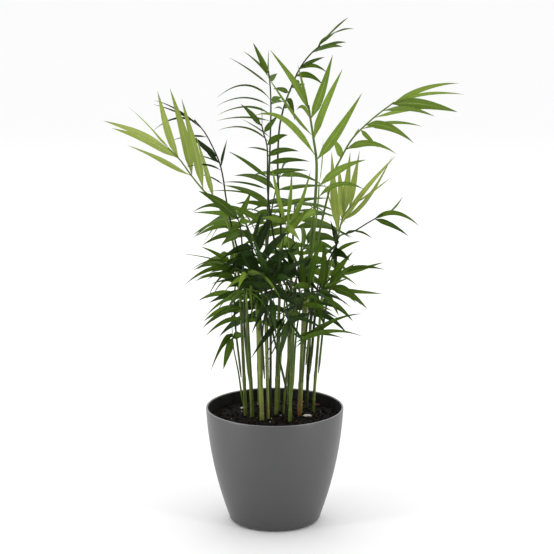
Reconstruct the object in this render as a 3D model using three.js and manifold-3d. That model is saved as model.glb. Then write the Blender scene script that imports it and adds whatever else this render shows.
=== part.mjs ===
// A potted palm: a round pot, soil with loose bits on it, slender canes, and feather-shaped
// fronds. Millimetres, +Z up, the front is -Y, and the pot's axis is the Z axis.
import * as THREE from "three";
import { mergeVertices } from "three/addons/utils/BufferGeometryUtils.js";
import Module from "manifold-3d";

const wasm = await Module();
wasm.setup();

// ---------------------------------------------------------------- driving dimensions
const POT_HEIGHT = 156;
const POT_RIM_RADIUS = 91.5;
const POT_FOOT_RADIUS = 59;
const POT_BELLY = 88; // middle control radius of the curved side
const POT_EDGE = 7; // rounding where the side meets the underside
const POT_WALL = 2.6;
const POT_FLOOR = 3.4;
const POT_SIDES = 48;
const POT_LIP = 1; // height of the bevel at the rim
const POT_LIP_RUN = [0.9, 2]; // how far inside the rim radius the flat top of the rim runs
const POT_EDGE_STEPS = 2; // straight runs in the rounding at the foot
const POT_RINGS = 5; // straight runs up the side
const POT_CORNER = 3; // how much narrower the inside is at its floor

const GAP = 0.4; // air between pieces that rest against each other
const LEAST_GAP = 0.9 * GAP; // air that a leaflet must keep
const TOP_GAP = 1.5 * GAP; // air between a cane's top and the petiole that carries on from it
const WELD = 1e-4; // points nearer than this are one point
const HEIGHT_STEP = 1e-9; // share of a curve's length where the search for a height ends
const JOINT_STRAIGHT = 10; // first run of a petiole that carries on from its cane
const SOIL_TOP = 142;
const SOIL_CROWN = 3; // how much higher the soil stands at the middle
const SHOULDER_SHARE = 0.8; // share of the crown that is left at the shoulder
const SOIL_SHOULDER = 55; // radius inside which the soil is nearly level
const SOIL_GAP = 0.9; // air between the soil's side and the pot's flat facets
const SOIL_SIDES = 24;
const SOIL_RINGS = 5;
const CANE_FOOT = 96; // how deep the canes reach into the soil
const CANE_SIDES = 6;
const CANE_STEPS = 4;
const CANE_SWAY = [0.35, 0.12]; // share of the height where a cane bows out, and by how much
const STALK_SIDES = 4;
const STALK_EXTRA_STEPS = 3; // straight runs of a stalk beyond the points of its path

const LEAFLET_HALF_THICKNESS = 0.8;
const LEAFLET_RINGS = [[0.3, 1], [0.68, 0.8]]; // share of length, share of width
const STALK_TIP = 0.5; // radius of a midrib at its tip, as a share of its foot
const MIDRIB_END = 0.985; // share of the midrib that the last leaflets grow from
const BARE = 0.42; // share of a petiole and midrib that has no paired leaflets
const PAIR_LEAN = [66, 34]; // degrees between leaflet and midrib, at its foot and its tip
const PAIR_SHIFT = 0.6; // where a pair sits within its share of the midrib
const PAIR_REACH = [0.72, 0.28]; // share of the full length for every pair, and what is added
const PAIR_SWELL = [0.2, 0.7]; // where along half a wave the added length starts, and its run
const PAIR_UNEVEN = [0.3, 0.08]; // how much droop and length differ from leaflet to leaflet
const PAIR_END = [0.7, 0.8]; // length and width of the leaflet at the midrib's end, as shares
const TIE = 0.6; // radius that a midrib never goes below
const ARCH_AT = 0.45; // share of a leaflet's length where its arch is centred
const FAN_DROP = 0.14; // how much lower a leaflet's tip is for each millimetre it fans backwards
const FAN_SPREAD = [0.75, 0.25]; // share of the fan for every leaflet, and how far it varies
const SWING_SIZES = [4, 8, 13, 19]; // degrees a leaflet may be swung to clear its neighbours

// name, foot x y, top x y z, foot radius, top radius, tone
const CANES = [
  ["cane_left_outer", -38, 0, -45, 2, 298, 2.6, 1.9, "cane_green"],
  ["cane_left_front", -29, -9, -36, -14, 286, 2.8, 2.0, "cane_green"],
  ["cane_left_back", -28, 13, -40, 22, 305, 2.3, 1.9, "cane_dark"],
  ["cane_front_thick", -16, -21, -21, -25, 268, 3.4, 2.3, "cane_yellow"],
  ["cane_front_thin", -8, -17, -12, -20, 278, 2.1, 1.7, "cane_yellow"],
  ["cane_middle_dark", -9, 26, -12, 35, 325, 2.3, 2.0, "cane_dark"],
  ["cane_middle_thin", -6, 6, -5, 4, 296, 1.9, 1.6, "cane_dark"],
  ["cane_middle_tall", 1, 3, 7, 4, 330, 2.6, 1.9, "cane_green"],
  ["cane_middle_back", 5, 19, 6, 19, 296, 2.3, 1.8, "cane_green"],
  ["cane_leaning", 9, 8, 23, 10, 268, 1.9, 1.6, "cane_green"],
  ["cane_front_right", 19, -29, 25, -34, 286, 2.5, 1.9, "cane_green"],
  ["cane_crossing", 29, -17, -3, -13, 262, 1.7, 1.4, "cane_dark"],
  ["cane_brown_foot", 32, -2, 38, -8, 296, 3.0, 2.1, "cane_brown"],
  ["cane_right_thick", 32, 13, 44, 12, 330, 3.6, 2.8, "cane_yellow"],
  ["cane_right_dark", 42, 32, 50, 34, 310, 2.3, 1.9, "cane_dark"],
  ["cane_right_outer", 50, 20, 61, 22, 284, 2.2, 1.8, "cane_green"],
  ["cane_back_left", -20, 40, -24, 54, 296, 2.6, 2.1, "cane_green"],
  ["cane_back_right", 18, 42, 22, 60, 306, 2.6, 2.1, "cane_green"],
];

// Each frond: its cane, the height on the cane where it leaves (0 is the cane's top), its foot
// radius, the points of its petiole and midrib, the share of them that is bare, its tone, and
// its leaflets. A tip is [share along the path, tip x, y, z, width, arch], and where there is a
// fan, every second leaflet reaches that much further back or forward. Pairs are leaflets
// that follow a rule: how many pairs, length, width, arch, and the way the upper side faces.
const FRONDS = [
  {
    name: "frond_pale_left", cane: "cane_left_outer", at: 0, radius: 1.9, tone: "leaf_pale",
    fan: 34,
    path: [[-49, 4, 345], [-61, 8, 400], [-78, 12, 431], [-92, 14, 444], [-108, 17, 463],
      [-124, 19, 485], [-139, 21, 500]],
    tips: [
      [1, -219, 10, 537, 11, 4], [0.91, -216, 32, 530, 12, 4], [0.79, -188, -2, 507, 14, 10],
      [1, -193, 24, 554, 9, 8], [0.91, -151, 30, 573, 11, 0], [0.79, -137, 12, 580, 12, 0],
      [0.69, -120, 26, 564, 11, 0], [0.61, -104, 22, 516, 10, 4],
    ],
  },
  {
    name: "frond_thin_left", cane: "cane_left_back", at: 0, radius: 1.6, tone: "leaf_dark",
    fan: 20,
    path: [[-50, 28, 365], [-60, 36, 406], [-65, 42, 434], [-68, 46, 455], [-73, 50, 476],
      [-82, 54, 496], [-92, 58, 514], [-106, 62, 531]],
    tips: [
      [0.7, -62, 44, 508, 10, 0], [0.76, -106, 46, 522, 8, 2], [0.72, -100, 64, 503, 7, 4],
      [0.93, -160, 60, 557, 4, 16], [0.99, -161, 78, 549, 4, 8], [0.97, -161, 44, 519, 5, 22],
      [0.88, -138, 86, 499, 4, 10], [0.72, -116, 90, 477, 4, 10], [0.68, -118, 28, 470, 4, 10],
      [0.6, -102, 80, 454, 4, 8],
    ],
  },
  {
    name: "frond_tall_left", cane: "cane_middle_dark", at: 0, radius: 1.8, tone: "leaf_mid",
    fan: 36,
    path: [[-11, 36, 380], [-8, 38, 447], [-6, 40, 504], [-5, 42, 553], [-6, 44, 579],
      [-8, 46, 597]],
    tips: [
      [0.86, -74, 30, 564, 4, 32], [0.83, -77, 46, 551, 4, 28], [0.79, -74, 26, 542, 5, 16],
      [0.76, -78, 56, 530, 4, 14], [0.65, -73, 28, 522, 4, 20], [0.68, -44, 58, 532, 4, 4],
      [0.61, -36, 62, 494, 4, 4], [0.93, -60, 40, 616, 4, 8], [1, -28, 50, 633, 9, 2],
      [1, -8, 60, 624, 8, 0], [0.97, -41, 62, 621, 5, 2], [0.96, 3, 44, 595, 8, 2],
      [0.86, 9, 30, 564, 7, 4], [0.84, 11, 54, 556, 8, 2], [0.48, -60, 30, 494, 6, 8],
    ],
  },
  {
    name: "frond_middle", cane: "cane_middle_back", at: 0, radius: 1.8, tone: "leaf_mid",
    fan: 24,
    path: [[2, 10, 360], [-5, 0, 410], [-9, -6, 447], [-10, -10, 508], [-14, -11, 523],
      [-17, -12, 536]],
    tips: [
      [1, -43, -16, 562, 8, 4], [1, -17, -24, 565, 5, 0], [0.95, 5, -14, 548, 7, 4],
      [0.88, 17, -22, 523, 9, 6], [0.82, 31, -20, 502, 8, 8], [0.78, 45, -26, 489, 7, 10],
      [0.73, 43, -36, 480, 7, 8], [0.64, -68, -22, 461, 5, 10], [0.58, -90, -12, 448, 5, 14],
      [0.54, -50, -30, 434, 7, 10], [0.5, -28, -34, 420, 7, 8],
    ],
  },
  {
    name: "frond_top", cane: "cane_middle_tall", at: 0, radius: 1.8, tone: "leaf_mid",
    fan: 34,
    path: [[8, 6, 400], [4, 6, 470], [6, 6, 527], [10, 6, 548], [14, 5, 562], [20, 4, 578],
      [32, 3, 605], [45, 2, 623], [58, 0, 635]],
    tips: [
      [1, 100, -10, 656, 10, 20], [0.99, 95, 2, 672, 8, 8], [0.95, 90, -16, 640, 10, 10],
      [0.97, 88, 14, 633, 9, 8], [0.88, 59, 24, 628, 6, 4], [0.87, 68, -18, 603, 7, 14],
      [0.84, 63, 20, 581, 8, 16], [0.81, 36, -20, 595, 6, 4], [0.79, 37, 26, 588, 6, 2],
      [0.77, -2, 16, 578, 7, 6], [0.78, 12, -16, 558, 9, 4], [0.74, 26, -18, 541, 7, 16],
      [0.76, 25, 24, 562, 5, 4], [0.69, -1, 30, 550, 4, 4], [0.71, 18, 36, 550, 6, 2],
    ],
  },
  {
    name: "frond_bright", cane: "cane_right_thick", at: 0, radius: 2.7, tone: "leaf_bright",
    fan: 38,
    path: [[50, 6, 400], [53, 0, 440], [54, -6, 486], [50, -12, 516], [46, -16, 542],
      [43, -18, 561]],
    tips: [
      [0.68, 110, -24, 577, 12, 2], [0.8, 87, -32, 610, 12, 0], [0.92, 73, -20, 625, 11, 0],
      [1, 29, -30, 617, 10, 4], [0.96, 5, -14, 638, 10, 0], [0.82, -18, -32, 614, 10, 4],
      [0.7, -24, -38, 551, 8, 48], [0.91, 27, -36, 560, 6, 20],
    ],
  },
  {
    name: "frond_arching_right", cane: "cane_right_dark", at: 0, radius: 1.8, tone: "leaf_bright",
    fan: 40,
    path: [[55, 34, 362], [63, 30, 405], [70, 27, 436], [78, 25, 468], [86, 23, 485],
      [101, 20, 512], [127, 15, 539], [154, 10, 561]],
    tips: [
      [1, 235, 18, 584, 7, 18], [1, 246, -2, 573, 8, 10], [0.99, 231, -14, 565, 14, 6],
      [0.88, 221, 24, 552, 7, 16], [0.93, 202, -20, 547, 9, 8], [0.8, 195, 32, 526, 7, 20],
      [0.83, 177, -16, 512, 11, 18], [0.8, 134, -26, 507, 6, 2], [0.68, 156, -4, 496, 9, 24],
      [0.75, 112, 44, 522, 6, 2], [0.635, 74, 12, 515, 9, 2],
    ],
  },
  {
    name: "frond_pale_right", cane: "cane_right_outer", at: 0, radius: 1.8, tone: "leaf_pale",
    fan: 34,
    path: [[74, 22, 345], [84, 20, 385], [90, 17, 410], [98, 14, 421], [105, 12, 429]],
    tips: [
      [0.84, 97, 8, 497, 10, 0], [0.93, 111, -2, 500, 10, 0], [0.8, 81, 14, 477, 10, 0],
      [0.74, 151, -6, 498, 8, 2], [0.8, 152, 20, 490, 6, -16], [1, 152, -10, 465, 6, 2],
      [0.7, 74, 34, 493, 11, 0], [0.66, 62, 36, 459, 9, 2],
    ],
  },
  {
    name: "frond_crossing", cane: "cane_brown_foot", at: 0, radius: 1.7, tone: "leaf_bright",
    fan: 20,
    path: [[46, -18, 350], [52, -24, 400], [56, -28, 440], [57, -30, 463]],
    tips: [
      [0.97, 116, -32, 493, 10, 14], [0.88, 115, -40, 455, 7, 22], [0.75, 30, -54, 414, 10, 10],
      [1, 62, -44, 523, 8, 0],
    ],
  },
  {
    name: "frond_side_right", cane: "cane_right_outer", at: 196, radius: 1.6, tone: "leaf_mid",
    fan: 22,
    path: [[68, 12, 290], [80, 6, 345], [84, 0, 386], [102, -6, 394], [121, -12, 407], [140, -16, 419]],
    tips: [
      [1, 164, -18, 443, 6, -8], [0.92, 188, -26, 404, 7, 26], [0.95, 173, -12, 390, 7, 10],
      [0.78, 125, -24, 378, 8, 16], [0.88, 136, 0, 378, 8, 14], [0.66, 112, -20, 383, 6, 4],
    ],
  },
  {
    name: "frond_dark_right", cane: "cane_right_dark", at: 206, radius: 1.6, tone: "leaf_dark",
    path: [[56, 24, 290], [66, 6, 342], [83, -14, 383]],
    tips: [
      [1, 72, -20, 412, 10, 2], [0.96, 82, -32, 409, 6, 2], [0.98, 52, -32, 350, 13, 12],
      [0.9, 97, -28, 360, 11, 8], [0.86, 79, -36, 352, 11, 8], [0.8, 62, -40, 312, 12, 24],
    ],
  },
  {
    name: "frond_mid_left", cane: "cane_left_front", at: 0, radius: 1.8, tone: "leaf_mid",
    path: [[-40, -18, 335], [-42, -24, 378], [-45, -28, 408], [-50, -30, 422]],
    tips: [
      [1, -105, -20, 422, 11, 2], [0.97, -105, -38, 425, 8, 26], [0.93, -97, -46, 455, 13, 8],
      [0.86, -62, -50, 397, 10, 6], [0.9, -26, -56, 414, 9, 10], [0.95, -30, -34, 452, 8, 4],
      [0.8, -70, -10, 376, 11, 8],
    ],
  },
  {
    name: "frond_low_left", cane: "cane_left_outer", at: 196, radius: 1.7, tone: "leaf_mid",
    path: [[-53, -8, 290], [-51, -14, 332], [-50, -20, 354]],
    tips: [
      [1, -95, -30, 379, 6, 6], [0.98, -111, -12, 343, 4, 24], [0.95, -118, -34, 328, 11, 30],
      [0.9, -83, -46, 361, 7, 6], [0.85, -90, -42, 306, 8, 44], [0.8, -84, -6, 302, 4, 30],
      [0.9, -100, -22, 336, 4, 8], [0.96, -124, -20, 368, 3, 4], [0.75, -36, -44, 312, 9, 12],
    ],
  },
  {
    name: "frond_foot_left", cane: "cane_left_outer", at: 160, radius: 1.4, tone: "leaf_mid",
    path: [[-48, -9, 205], [-54, -15, 240], [-55, -20, 258]],
    tips: [
      [1, -84, -30, 212, 13, 30], [0.97, -67, -38, 217, 14, 6], [0.98, -66, -30, 249, 8, 10],
      [0.95, -38, -46, 262, 10, 12], [0.93, -57, 0, 300, 6, 2],
    ],
  },
  {
    name: "frond_front", cane: "cane_front_thick", at: 0, radius: 1.9, tone: "leaf_bright",
    path: [[-26, -36, 310], [-31, -50, 338], [-35, -62, 350]],
    tips: [
      [0.95, 9, -94, 323, 14, 30], [0.9, -66, -88, 330, 9, 14], [1, -46, -112, 340, 9, 10],
      [1, -14, -108, 358, 9, 10], [0.8, -28, -84, 286, 10, 14],
    ],
  },
  {
    name: "frond_front_dark", cane: "cane_front_thick", at: 190, radius: 1.6, tone: "leaf_dark",
    path: [[-15, -38, 276], [-6, -56, 322], [0, -68, 344]],
    tips: [
      [0.8, 2, -86, 270, 12, 10], [0.84, -24, -92, 296, 11, 12], [0.92, 26, -96, 316, 10, 12],
      [1, 13, -84, 412, 14, 4], [0.96, -28, -80, 404, 11, 4], [1, 20, -116, 356, 9, 8],
      [0.9, -46, -72, 340, 10, 10], [0.86, 34, -68, 304, 10, 10], [1, 32, -98, 390, 9, 6],
      [0.75, -30, -60, 270, 9, 10],
    ],
  },
  {
    name: "frond_front_right", cane: "cane_front_right", at: 186, radius: 1.6, tone: "leaf_mid",
    path: [[29, -46, 276], [36, -58, 314], [44, -66, 332]],
    tips: [
      [1, 15, -98, 326, 9, 28], [0.45, 116, -60, 266, 10, 30], [0.5, 88, -52, 262, 6, 8],
      [0.4, 114, -38, 292, 10, 26], [0.8, 74, -84, 306, 9, 12], [1, 60, -84, 404, 10, 4],
      [0.94, 34, -76, 396, 10, 4], [0.9, 56, -112, 330, 9, 12], [0.7, 10, -74, 296, 9, 12],
    ],
  },
  {
    name: "frond_low_right", cane: "cane_front_right", at: 0, radius: 1.7, tone: "leaf_mid",
    path: [[40, -42, 312], [56, -50, 326], [70, -54, 330]],
    tips: [
      [1, 119, -62, 304, 12, 20], [0.97, 112, -50, 305, 7, 24], [1, 138, -58, 322, 8, 2],
      [0.95, 103, -46, 360, 9, 6], [0.9, 104, -68, 342, 8, 6], [0.8, 82, -84, 300, 10, 12],
      [0.85, 62, -76, 394, 11, 2], [0.7, 60, -88, 288, 9, 10],
    ],
  },
  {
    name: "frond_fan_right", cane: "cane_right_thick", at: 210, radius: 1.9, tone: "leaf_mid",
    path: [[54, 0, 300], [72, -4, 330], [84, -8, 337]],
    tips: [
      [1, 142, -10, 354, 9, 2], [1, 143, -24, 343, 6, 10], [0.9, 104, -10, 366, 9, 2],
      [0.85, 98, 16, 384, 9, 2], [0.8, 66, -26, 302, 9, 10],
    ],
  },
  {
    name: "frond_radiating", cane: "cane_middle_tall", at: 196, radius: 1.6, tone: "leaf_bright",
    fan: 18,
    path: [[13, -7, 300], [17, -9, 340], [18, -14, 376], [14, -26, 412]],
    tips: [
      [0.98, -4, -30, 484, 8, 0], [1, 22, -38, 482, 10, 0], [0.95, 46, -34, 480, 9, 0],
      [0.9, 50, -48, 434, 9, 6], [0.96, 34, -72, 392, 11, 14], [1, -17, -62, 422, 9, 8],
      [0.9, 14, -50, 464, 6, 0], [0.88, 4, -60, 376, 9, 10],
    ],
  },
  {
    name: "frond_inner_left", cane: "cane_middle_dark", at: 186, radius: 1.5, tone: "leaf_dark",
    path: [[-20, 24, 286], [-26, 8, 328], [-38, -4, 342]],
    pairs: { count: 6, length: 68, width: 12, arch: 20, droop: 0.6, face: [0, 0.2, 1] },
  },
  {
    name: "frond_inner_right", cane: "cane_middle_thin", at: 0, radius: 1.5, tone: "leaf_dark",
    path: [[-2, -2, 326], [2, -22, 350], [4, -40, 360]],
    tips: [
      [1, -34, -60, 342, 13, 14], [1, 38, -66, 338, 13, 14], [0.95, -26, -52, 310, 12, 12],
      [0.95, 30, -56, 306, 12, 12], [0.9, -32, -26, 378, 12, 6], [0.9, 30, -24, 386, 12, 6],
      [1, 2, -86, 384, 12, 6], [0.85, -22, -30, 300, 12, 8], [0.85, 26, -30, 296, 12, 8],
    ],
  },
  {
    name: "frond_core_left", cane: "cane_front_thin", at: 0, radius: 1.4, tone: "leaf_dark",
    path: [[-14, -24, 302], [-19, -40, 328], [-24, -54, 340]],
    tips: [
      [1, -58, -80, 318, 13, 14], [0.95, -6, -86, 306, 13, 10], [0.9, -52, -60, 290, 12, 14],
      [0.75, -22, -84, 262, 12, 6], [1, -36, -104, 312, 12, 8], [1, -20, -110, 354, 11, 6],
      [0.8, -40, -44, 276, 11, 10], [0.95, -48, -40, 384, 11, 2],
    ],
  },
  {
    name: "frond_core_right", cane: "cane_leaning", at: 0, radius: 1.4, tone: "leaf_dark",
    path: [[27, 6, 300], [28, -14, 328], [29, -34, 344]],
    tips: [
      [1, 62, -58, 318, 13, 14], [0.95, 8, -78, 286, 12, 10], [0.9, 58, -36, 292, 12, 14],
      [0.85, 16, -50, 270, 12, 6], [1, 48, -66, 372, 12, 4], [1, 14, -72, 384, 13, 4],
      [0.8, 44, -18, 276, 11, 10], [0.9, 62, -12, 352, 12, 6], [0.9, 2, -16, 372, 12, 4],
    ],
  },
  {
    name: "frond_low_front", cane: "cane_front_right", at: 216, radius: 1.5, tone: "leaf_dark",
    path: [[20, -44, 262], [19, -60, 286], [14, -72, 298]],
    tips: [
      [1, -44, -70, 250, 10, 8], [0.95, -20, -90, 248, 11, 10], [0.95, 70, -84, 276, 10, 16],
      [0.9, 4, -84, 238, 12, 8], [0.85, 44, -80, 250, 11, 10], [1, 24, -112, 310, 11, 6],
      [0.9, -14, -76, 228, 11, 6], [0.9, 64, -66, 300, 10, 8],
    ],
  },
  {
    name: "frond_inner_high", cane: "cane_crossing", at: 0, radius: 1.5, tone: "leaf_dark",
    path: [[-12, -12, 310], [-18, -14, 350], [-28, -20, 378]],
    pairs: { count: 6, length: 62, width: 12, arch: 14, droop: 0.45, face: [0, -0.6, 1] },
  },
  {
    name: "frond_inner_far", cane: "cane_back_right", at: 270, radius: 1.5, tone: "leaf_mid",
    path: [[30, 57, 324], [36, 62, 352], [46, 66, 366]],
    pairs: { count: 6, length: 56, width: 12, arch: 18, droop: 0.55, face: [0, -0.2, 1] },
  },
  {
    name: "frond_back_right", cane: "cane_back_right", at: 0, radius: 1.9, tone: "leaf_mid",
    path: [[24, 84, 354], [26, 114, 386], [28, 150, 402], [30, 184, 398]],
    pairs: { count: 6, length: 92, width: 10, arch: 18, droop: 0.55, face: [0, -0.3, 1] },
  },
  {
    name: "frond_back_left", cane: "cane_back_left", at: 0, radius: 1.9, tone: "leaf_mid",
    path: [[-30, 80, 350], [-40, 110, 384], [-50, 140, 396], [-56, 168, 388]],
    pairs: { count: 6, length: 80, width: 10, arch: 20, droop: 0.6, face: [0, -0.3, 1] },
  },
  {
    name: "frond_back_low", cane: "cane_back_right", at: 190, radius: 1.7, tone: "leaf_dark",
    path: [[16, 70, 280], [4, 104, 308], [-4, 132, 306]],
    pairs: { count: 5, length: 84, width: 10, arch: 20, droop: 0.6, face: [0, -0.2, 1] },
  },
  {
    name: "frond_back_outer", cane: "cane_right_dark", at: 190, radius: 1.7, tone: "leaf_mid",
    path: [[55, 48, 286], [60, 74, 316], [64, 100, 328], [66, 126, 320]],
    pairs: { count: 5, length: 58, width: 10, arch: 20, droop: 0.6, face: [0, -0.2, 1] },
  },
  {
    name: "frond_back_upper", cane: "cane_back_left", at: 200, radius: 1.7, tone: "leaf_mid",
    path: [[-18, 64, 290], [-12, 78, 336], [-6, 92, 392], [2, 118, 430], [8, 146, 446]],
    pairs: { count: 6, length: 84, width: 9, arch: 14, droop: 0.4, face: [0, -0.6, 1] },
  },
  {
    name: "frond_left_far", cane: "cane_left_back", at: 190, radius: 1.6, tone: "leaf_mid",
    path: [[-44, 34, 286], [-56, 62, 328], [-64, 88, 340]],
    pairs: { count: 5, length: 62, width: 10, arch: 20, droop: 0.6, face: [0, -0.2, 1] },
  },
  {
    name: "frond_near_left", cane: "cane_left_front", at: 196, radius: 1.6, tone: "leaf_mid",
    path: [[-40, -28, 276], [-38, -66, 328], [-36, -96, 332]],
    pairs: { count: 5, length: 58, width: 9, arch: 20, droop: 0.6, face: [0, 0.3, 1] },
  },
  {
    name: "frond_near_right", cane: "cane_brown_foot", at: 190, radius: 1.6, tone: "leaf_dark",
    path: [[43, -22, 280], [50, -76, 330], [50, -112, 334]],
    pairs: { count: 5, length: 60, width: 10, arch: 20, droop: 0.6, face: [0, 0.3, 1] },
  },
];

// ---------------------------------------------------------------- colours
const TONES = {
  pot_grey: [0x57575a, 0.55],
  soil_dark: [0x12110d, 1],
  cane_green: [0x5d7a32, 0.5],
  cane_yellow: [0x8b9a4a, 0.5],
  cane_dark: [0x32461c, 0.5],
  cane_brown: [0x6b5a35, 0.55],
  leaf_pale: [0x96af4b, 0.5],
  leaf_bright: [0x6f9630, 0.45],
  leaf_mid: [0x3f701f, 0.45],
  leaf_dark: [0x214214, 0.45],
  pebble_white: [0xd8d5cb, 0.9],
  bark_brown: [0x5a3a22, 0.95],
};

function material(tone) {
  const [color, roughness] = TONES[tone];
  return new THREE.MeshStandardMaterial({ color, roughness, metalness: 0 });
}

// ---------------------------------------------------------------- solids
const vector = (p) => new THREE.Vector3(...p);

// A three.js geometry as a solid for cutting and joining.
function toSolid(geometry) {
  const plain = geometry.clone();
  plain.deleteAttribute("normal");
  plain.deleteAttribute("uv");
  const merged = mergeVertices(plain, WELD);
  return new wasm.Manifold(new wasm.Mesh({
    numProp: 3,
    vertProperties: new Float32Array(merged.attributes.position.array),
    triVerts: new Uint32Array(merged.index.array),
  }));
}

function toGeometry(solid) {
  const mesh = solid.getMesh();
  const geometry = new THREE.BufferGeometry();
  geometry.setAttribute("position", new THREE.BufferAttribute(mesh.vertProperties, 3));
  geometry.setIndex(new THREE.BufferAttribute(mesh.triVerts, 1));
  geometry.computeVertexNormals();
  return geometry;
}

// Moves a lathe turned about Y between 0 and 1 so that it follows a line: place(t) gives the
// point at share t, and the two directions that the lathe's x and z go to.
function follow(profile, sides, place) {
  const geometry = new THREE.LatheGeometry(profile.map(([r, t]) => new THREE.Vector2(r, t)), sides);
  const position = geometry.attributes.position;
  const cache = new Map();
  for (let i = 0; i < position.count; i += 1) {
    const t = position.getY(i);
    if (!cache.has(t)) cache.set(t, place(t));
    const { point, across, through } = cache.get(t);
    const moved = point.clone().addScaledVector(across, position.getX(i));
    moved.addScaledVector(through, position.getZ(i));
    position.setXYZ(i, moved.x, moved.y, moved.z);
  }
  return toSolid(geometry);
}

// A slender tapered stalk along a curve, closed at both ends.
function stalk(curve, footRadius, tipRadius, steps, sides, extra = 0) {
  const frames = curve.computeFrenetFrames(steps, false);
  const profile = [[0, 0]];
  for (let i = 0; i <= steps; i += 1) {
    const t = i / steps;
    profile.push([footRadius + (tipRadius - footRadius) * t + extra, t]);
  }
  profile.push([0, 1]);
  return follow(profile, sides, (t) => {
    const i = Math.round(t * steps);
    return { point: curve.getPointAt(t), across: frames.binormals[i], through: frames.normals[i] };
  });
}

// One leaflet: a thin pointed blade from base to tip that arches up between them. Its width
// lies along the midrib's direction.
function leaflet(base, tip, along, width, arch) {
  const middle = base.clone().lerp(tip, ARCH_AT);
  middle.z += arch;
  const curve = new THREE.QuadraticBezierCurve3(base, middle, tip);
  const profile = [[0, 0], ...LEAFLET_RINGS.map(([t, share]) => [share, t]), [0, 1]];
  return follow(profile, 4, (t) => {
    const tangent = curve.getTangent(t);
    const across = along.clone().addScaledVector(tangent, -along.dot(tangent)).normalize();
    const through = new THREE.Vector3().crossVectors(across, tangent);
    across.multiplyScalar(width / 2);
    through.multiplyScalar(LEAFLET_HALF_THICKNESS);
    return { point: curve.getPoint(t), across, through };
  });
}

// ---------------------------------------------------------------- pot and soil
function potSide(z) {
  const t = z / POT_HEIGHT;
  return (1 - t) ** 2 * POT_FOOT_RADIUS + 2 * t * (1 - t) * POT_BELLY + t * t * POT_RIM_RADIUS;
}

function pot() {
  const foot = POT_FOOT_RADIUS - POT_EDGE;
  const outside = [[0, 0]];
  for (let i = 0; i < POT_EDGE_STEPS; i += 1) {
    const turn = (Math.PI / 2) * (i / POT_EDGE_STEPS);
    const reach = (potSide(POT_EDGE) - foot) * Math.sin(turn);
    outside.push([foot + reach, POT_EDGE * (1 - Math.cos(turn))]);
  }
  for (let i = 0; i <= POT_RINGS; i += 1) {
    const z = POT_EDGE + ((POT_HEIGHT - POT_LIP - POT_EDGE) * i) / POT_RINGS;
    outside.push([potSide(z), z]);
  }
  const rim = POT_LIP_RUN.map((run) => [POT_RIM_RADIUS - run, POT_HEIGHT]);
  const inside = [];
  for (let i = POT_RINGS; i >= 0; i -= 1) {
    const z = POT_FLOOR + ((POT_HEIGHT - POT_LIP - POT_FLOOR) * i) / POT_RINGS;
    inside.push([potSide(z) - POT_WALL - (i === 0 ? POT_CORNER : 0), z]);
  }
  const profile = [...outside, ...rim, ...inside, [0, POT_FLOOR]];
  const points = profile.map(([r, z]) => new THREE.Vector2(r, z));
  return new THREE.LatheGeometry(points, POT_SIDES).rotateX(Math.PI / 2);
}

function soil(holes) {
  const floor = POT_FLOOR + GAP;
  const profile = [[0, floor], [potSide(floor) - POT_WALL - POT_CORNER - SOIL_GAP, floor]];
  for (let i = 1; i <= SOIL_RINGS; i += 1) {
    const z = floor + ((SOIL_TOP - floor) * i) / SOIL_RINGS;
    profile.push([potSide(z) - POT_WALL - SOIL_GAP, z]);
  }
  profile.push([SOIL_SHOULDER, SOIL_TOP + SOIL_CROWN * SHOULDER_SHARE]);
  profile.push([0, SOIL_TOP + SOIL_CROWN]);
  const points = profile.map(([r, z]) => new THREE.Vector2(r, z));
  const body = new THREE.LatheGeometry(points, SOIL_SIDES).rotateX(Math.PI / 2);
  let solid = toSolid(body);
  for (const hole of holes) solid = solid.subtract(hole);
  return toGeometry(solid);
}

// ---------------------------------------------------------------- canes and fronds
function caneCurve([, footX, footY, topX, topY, topZ]) {
  const foot = new THREE.Vector3(footX, footY, CANE_FOOT);
  const top = new THREE.Vector3(topX, topY, topZ);
  const [height, sway] = CANE_SWAY;
  const low = foot.clone().lerp(top, height);
  low.x += (footX - topX) * sway;
  low.y += (footY - topY) * sway;
  return new THREE.CatmullRomCurve3([foot, low, top]);
}

function pointAtHeight(curve, z) {
  let low = 0;
  let high = 1;
  while (high - low > HEIGHT_STEP) {
    const t = (low + high) / 2;
    if (curve.getPointAt(t).z < z) low = t;
    else high = t;
  }
  return curve.getPointAt(low);
}

// The line of a frond's petiole and midrib, from a small gap off its cane.
function frondCurve(frond) {
  const cane = CANES.find(([name]) => name === frond.cane);
  const curve = caneCurve(cane);
  const points = frond.path.map(vector);
  if (frond.at) {
    const side = pointAtHeight(curve, frond.at);
    const out = points[0].clone().sub(side).setZ(0).normalize();
    const start = side.addScaledVector(out, cane[6] + frond.radius + GAP);
    return new THREE.CatmullRomCurve3([start, ...points]);
  }
  const way = curve.getTangentAt(1);
  const start = curve.getPointAt(1).addScaledVector(way, TOP_GAP);
  const ahead = start.clone().addScaledVector(way, JOINT_STRAIGHT);
  return new THREE.CatmullRomCurve3([start, ahead, ...points]);
}

const stalkSteps = (frond) => frond.path.length + STALK_EXTRA_STEPS;

// The point at a share of a stalk's length, on the straight runs between its rings.
function onStalk(curve, share, steps) {
  const ring = Math.min(Math.floor(share * steps), steps - 1);
  const from = curve.getPointAt(ring / steps);
  return from.lerp(curve.getPointAt((ring + 1) / steps), share * steps - ring);
}

// The leaflets of a frond's table, fanned out in turn to the back and to the front.
function fannedTips({ tips, fan = 0 }) {
  const [least, more] = FAN_SPREAD;
  return tips.map(([share, x, y, z, width, arch], i) => {
    const back = fan * (i % 2 ? 1 : -1) * (least + more * Math.sin(3 * i));
    return [share, x, y + back, z - FAN_DROP * back, width, arch];
  });
}

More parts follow.
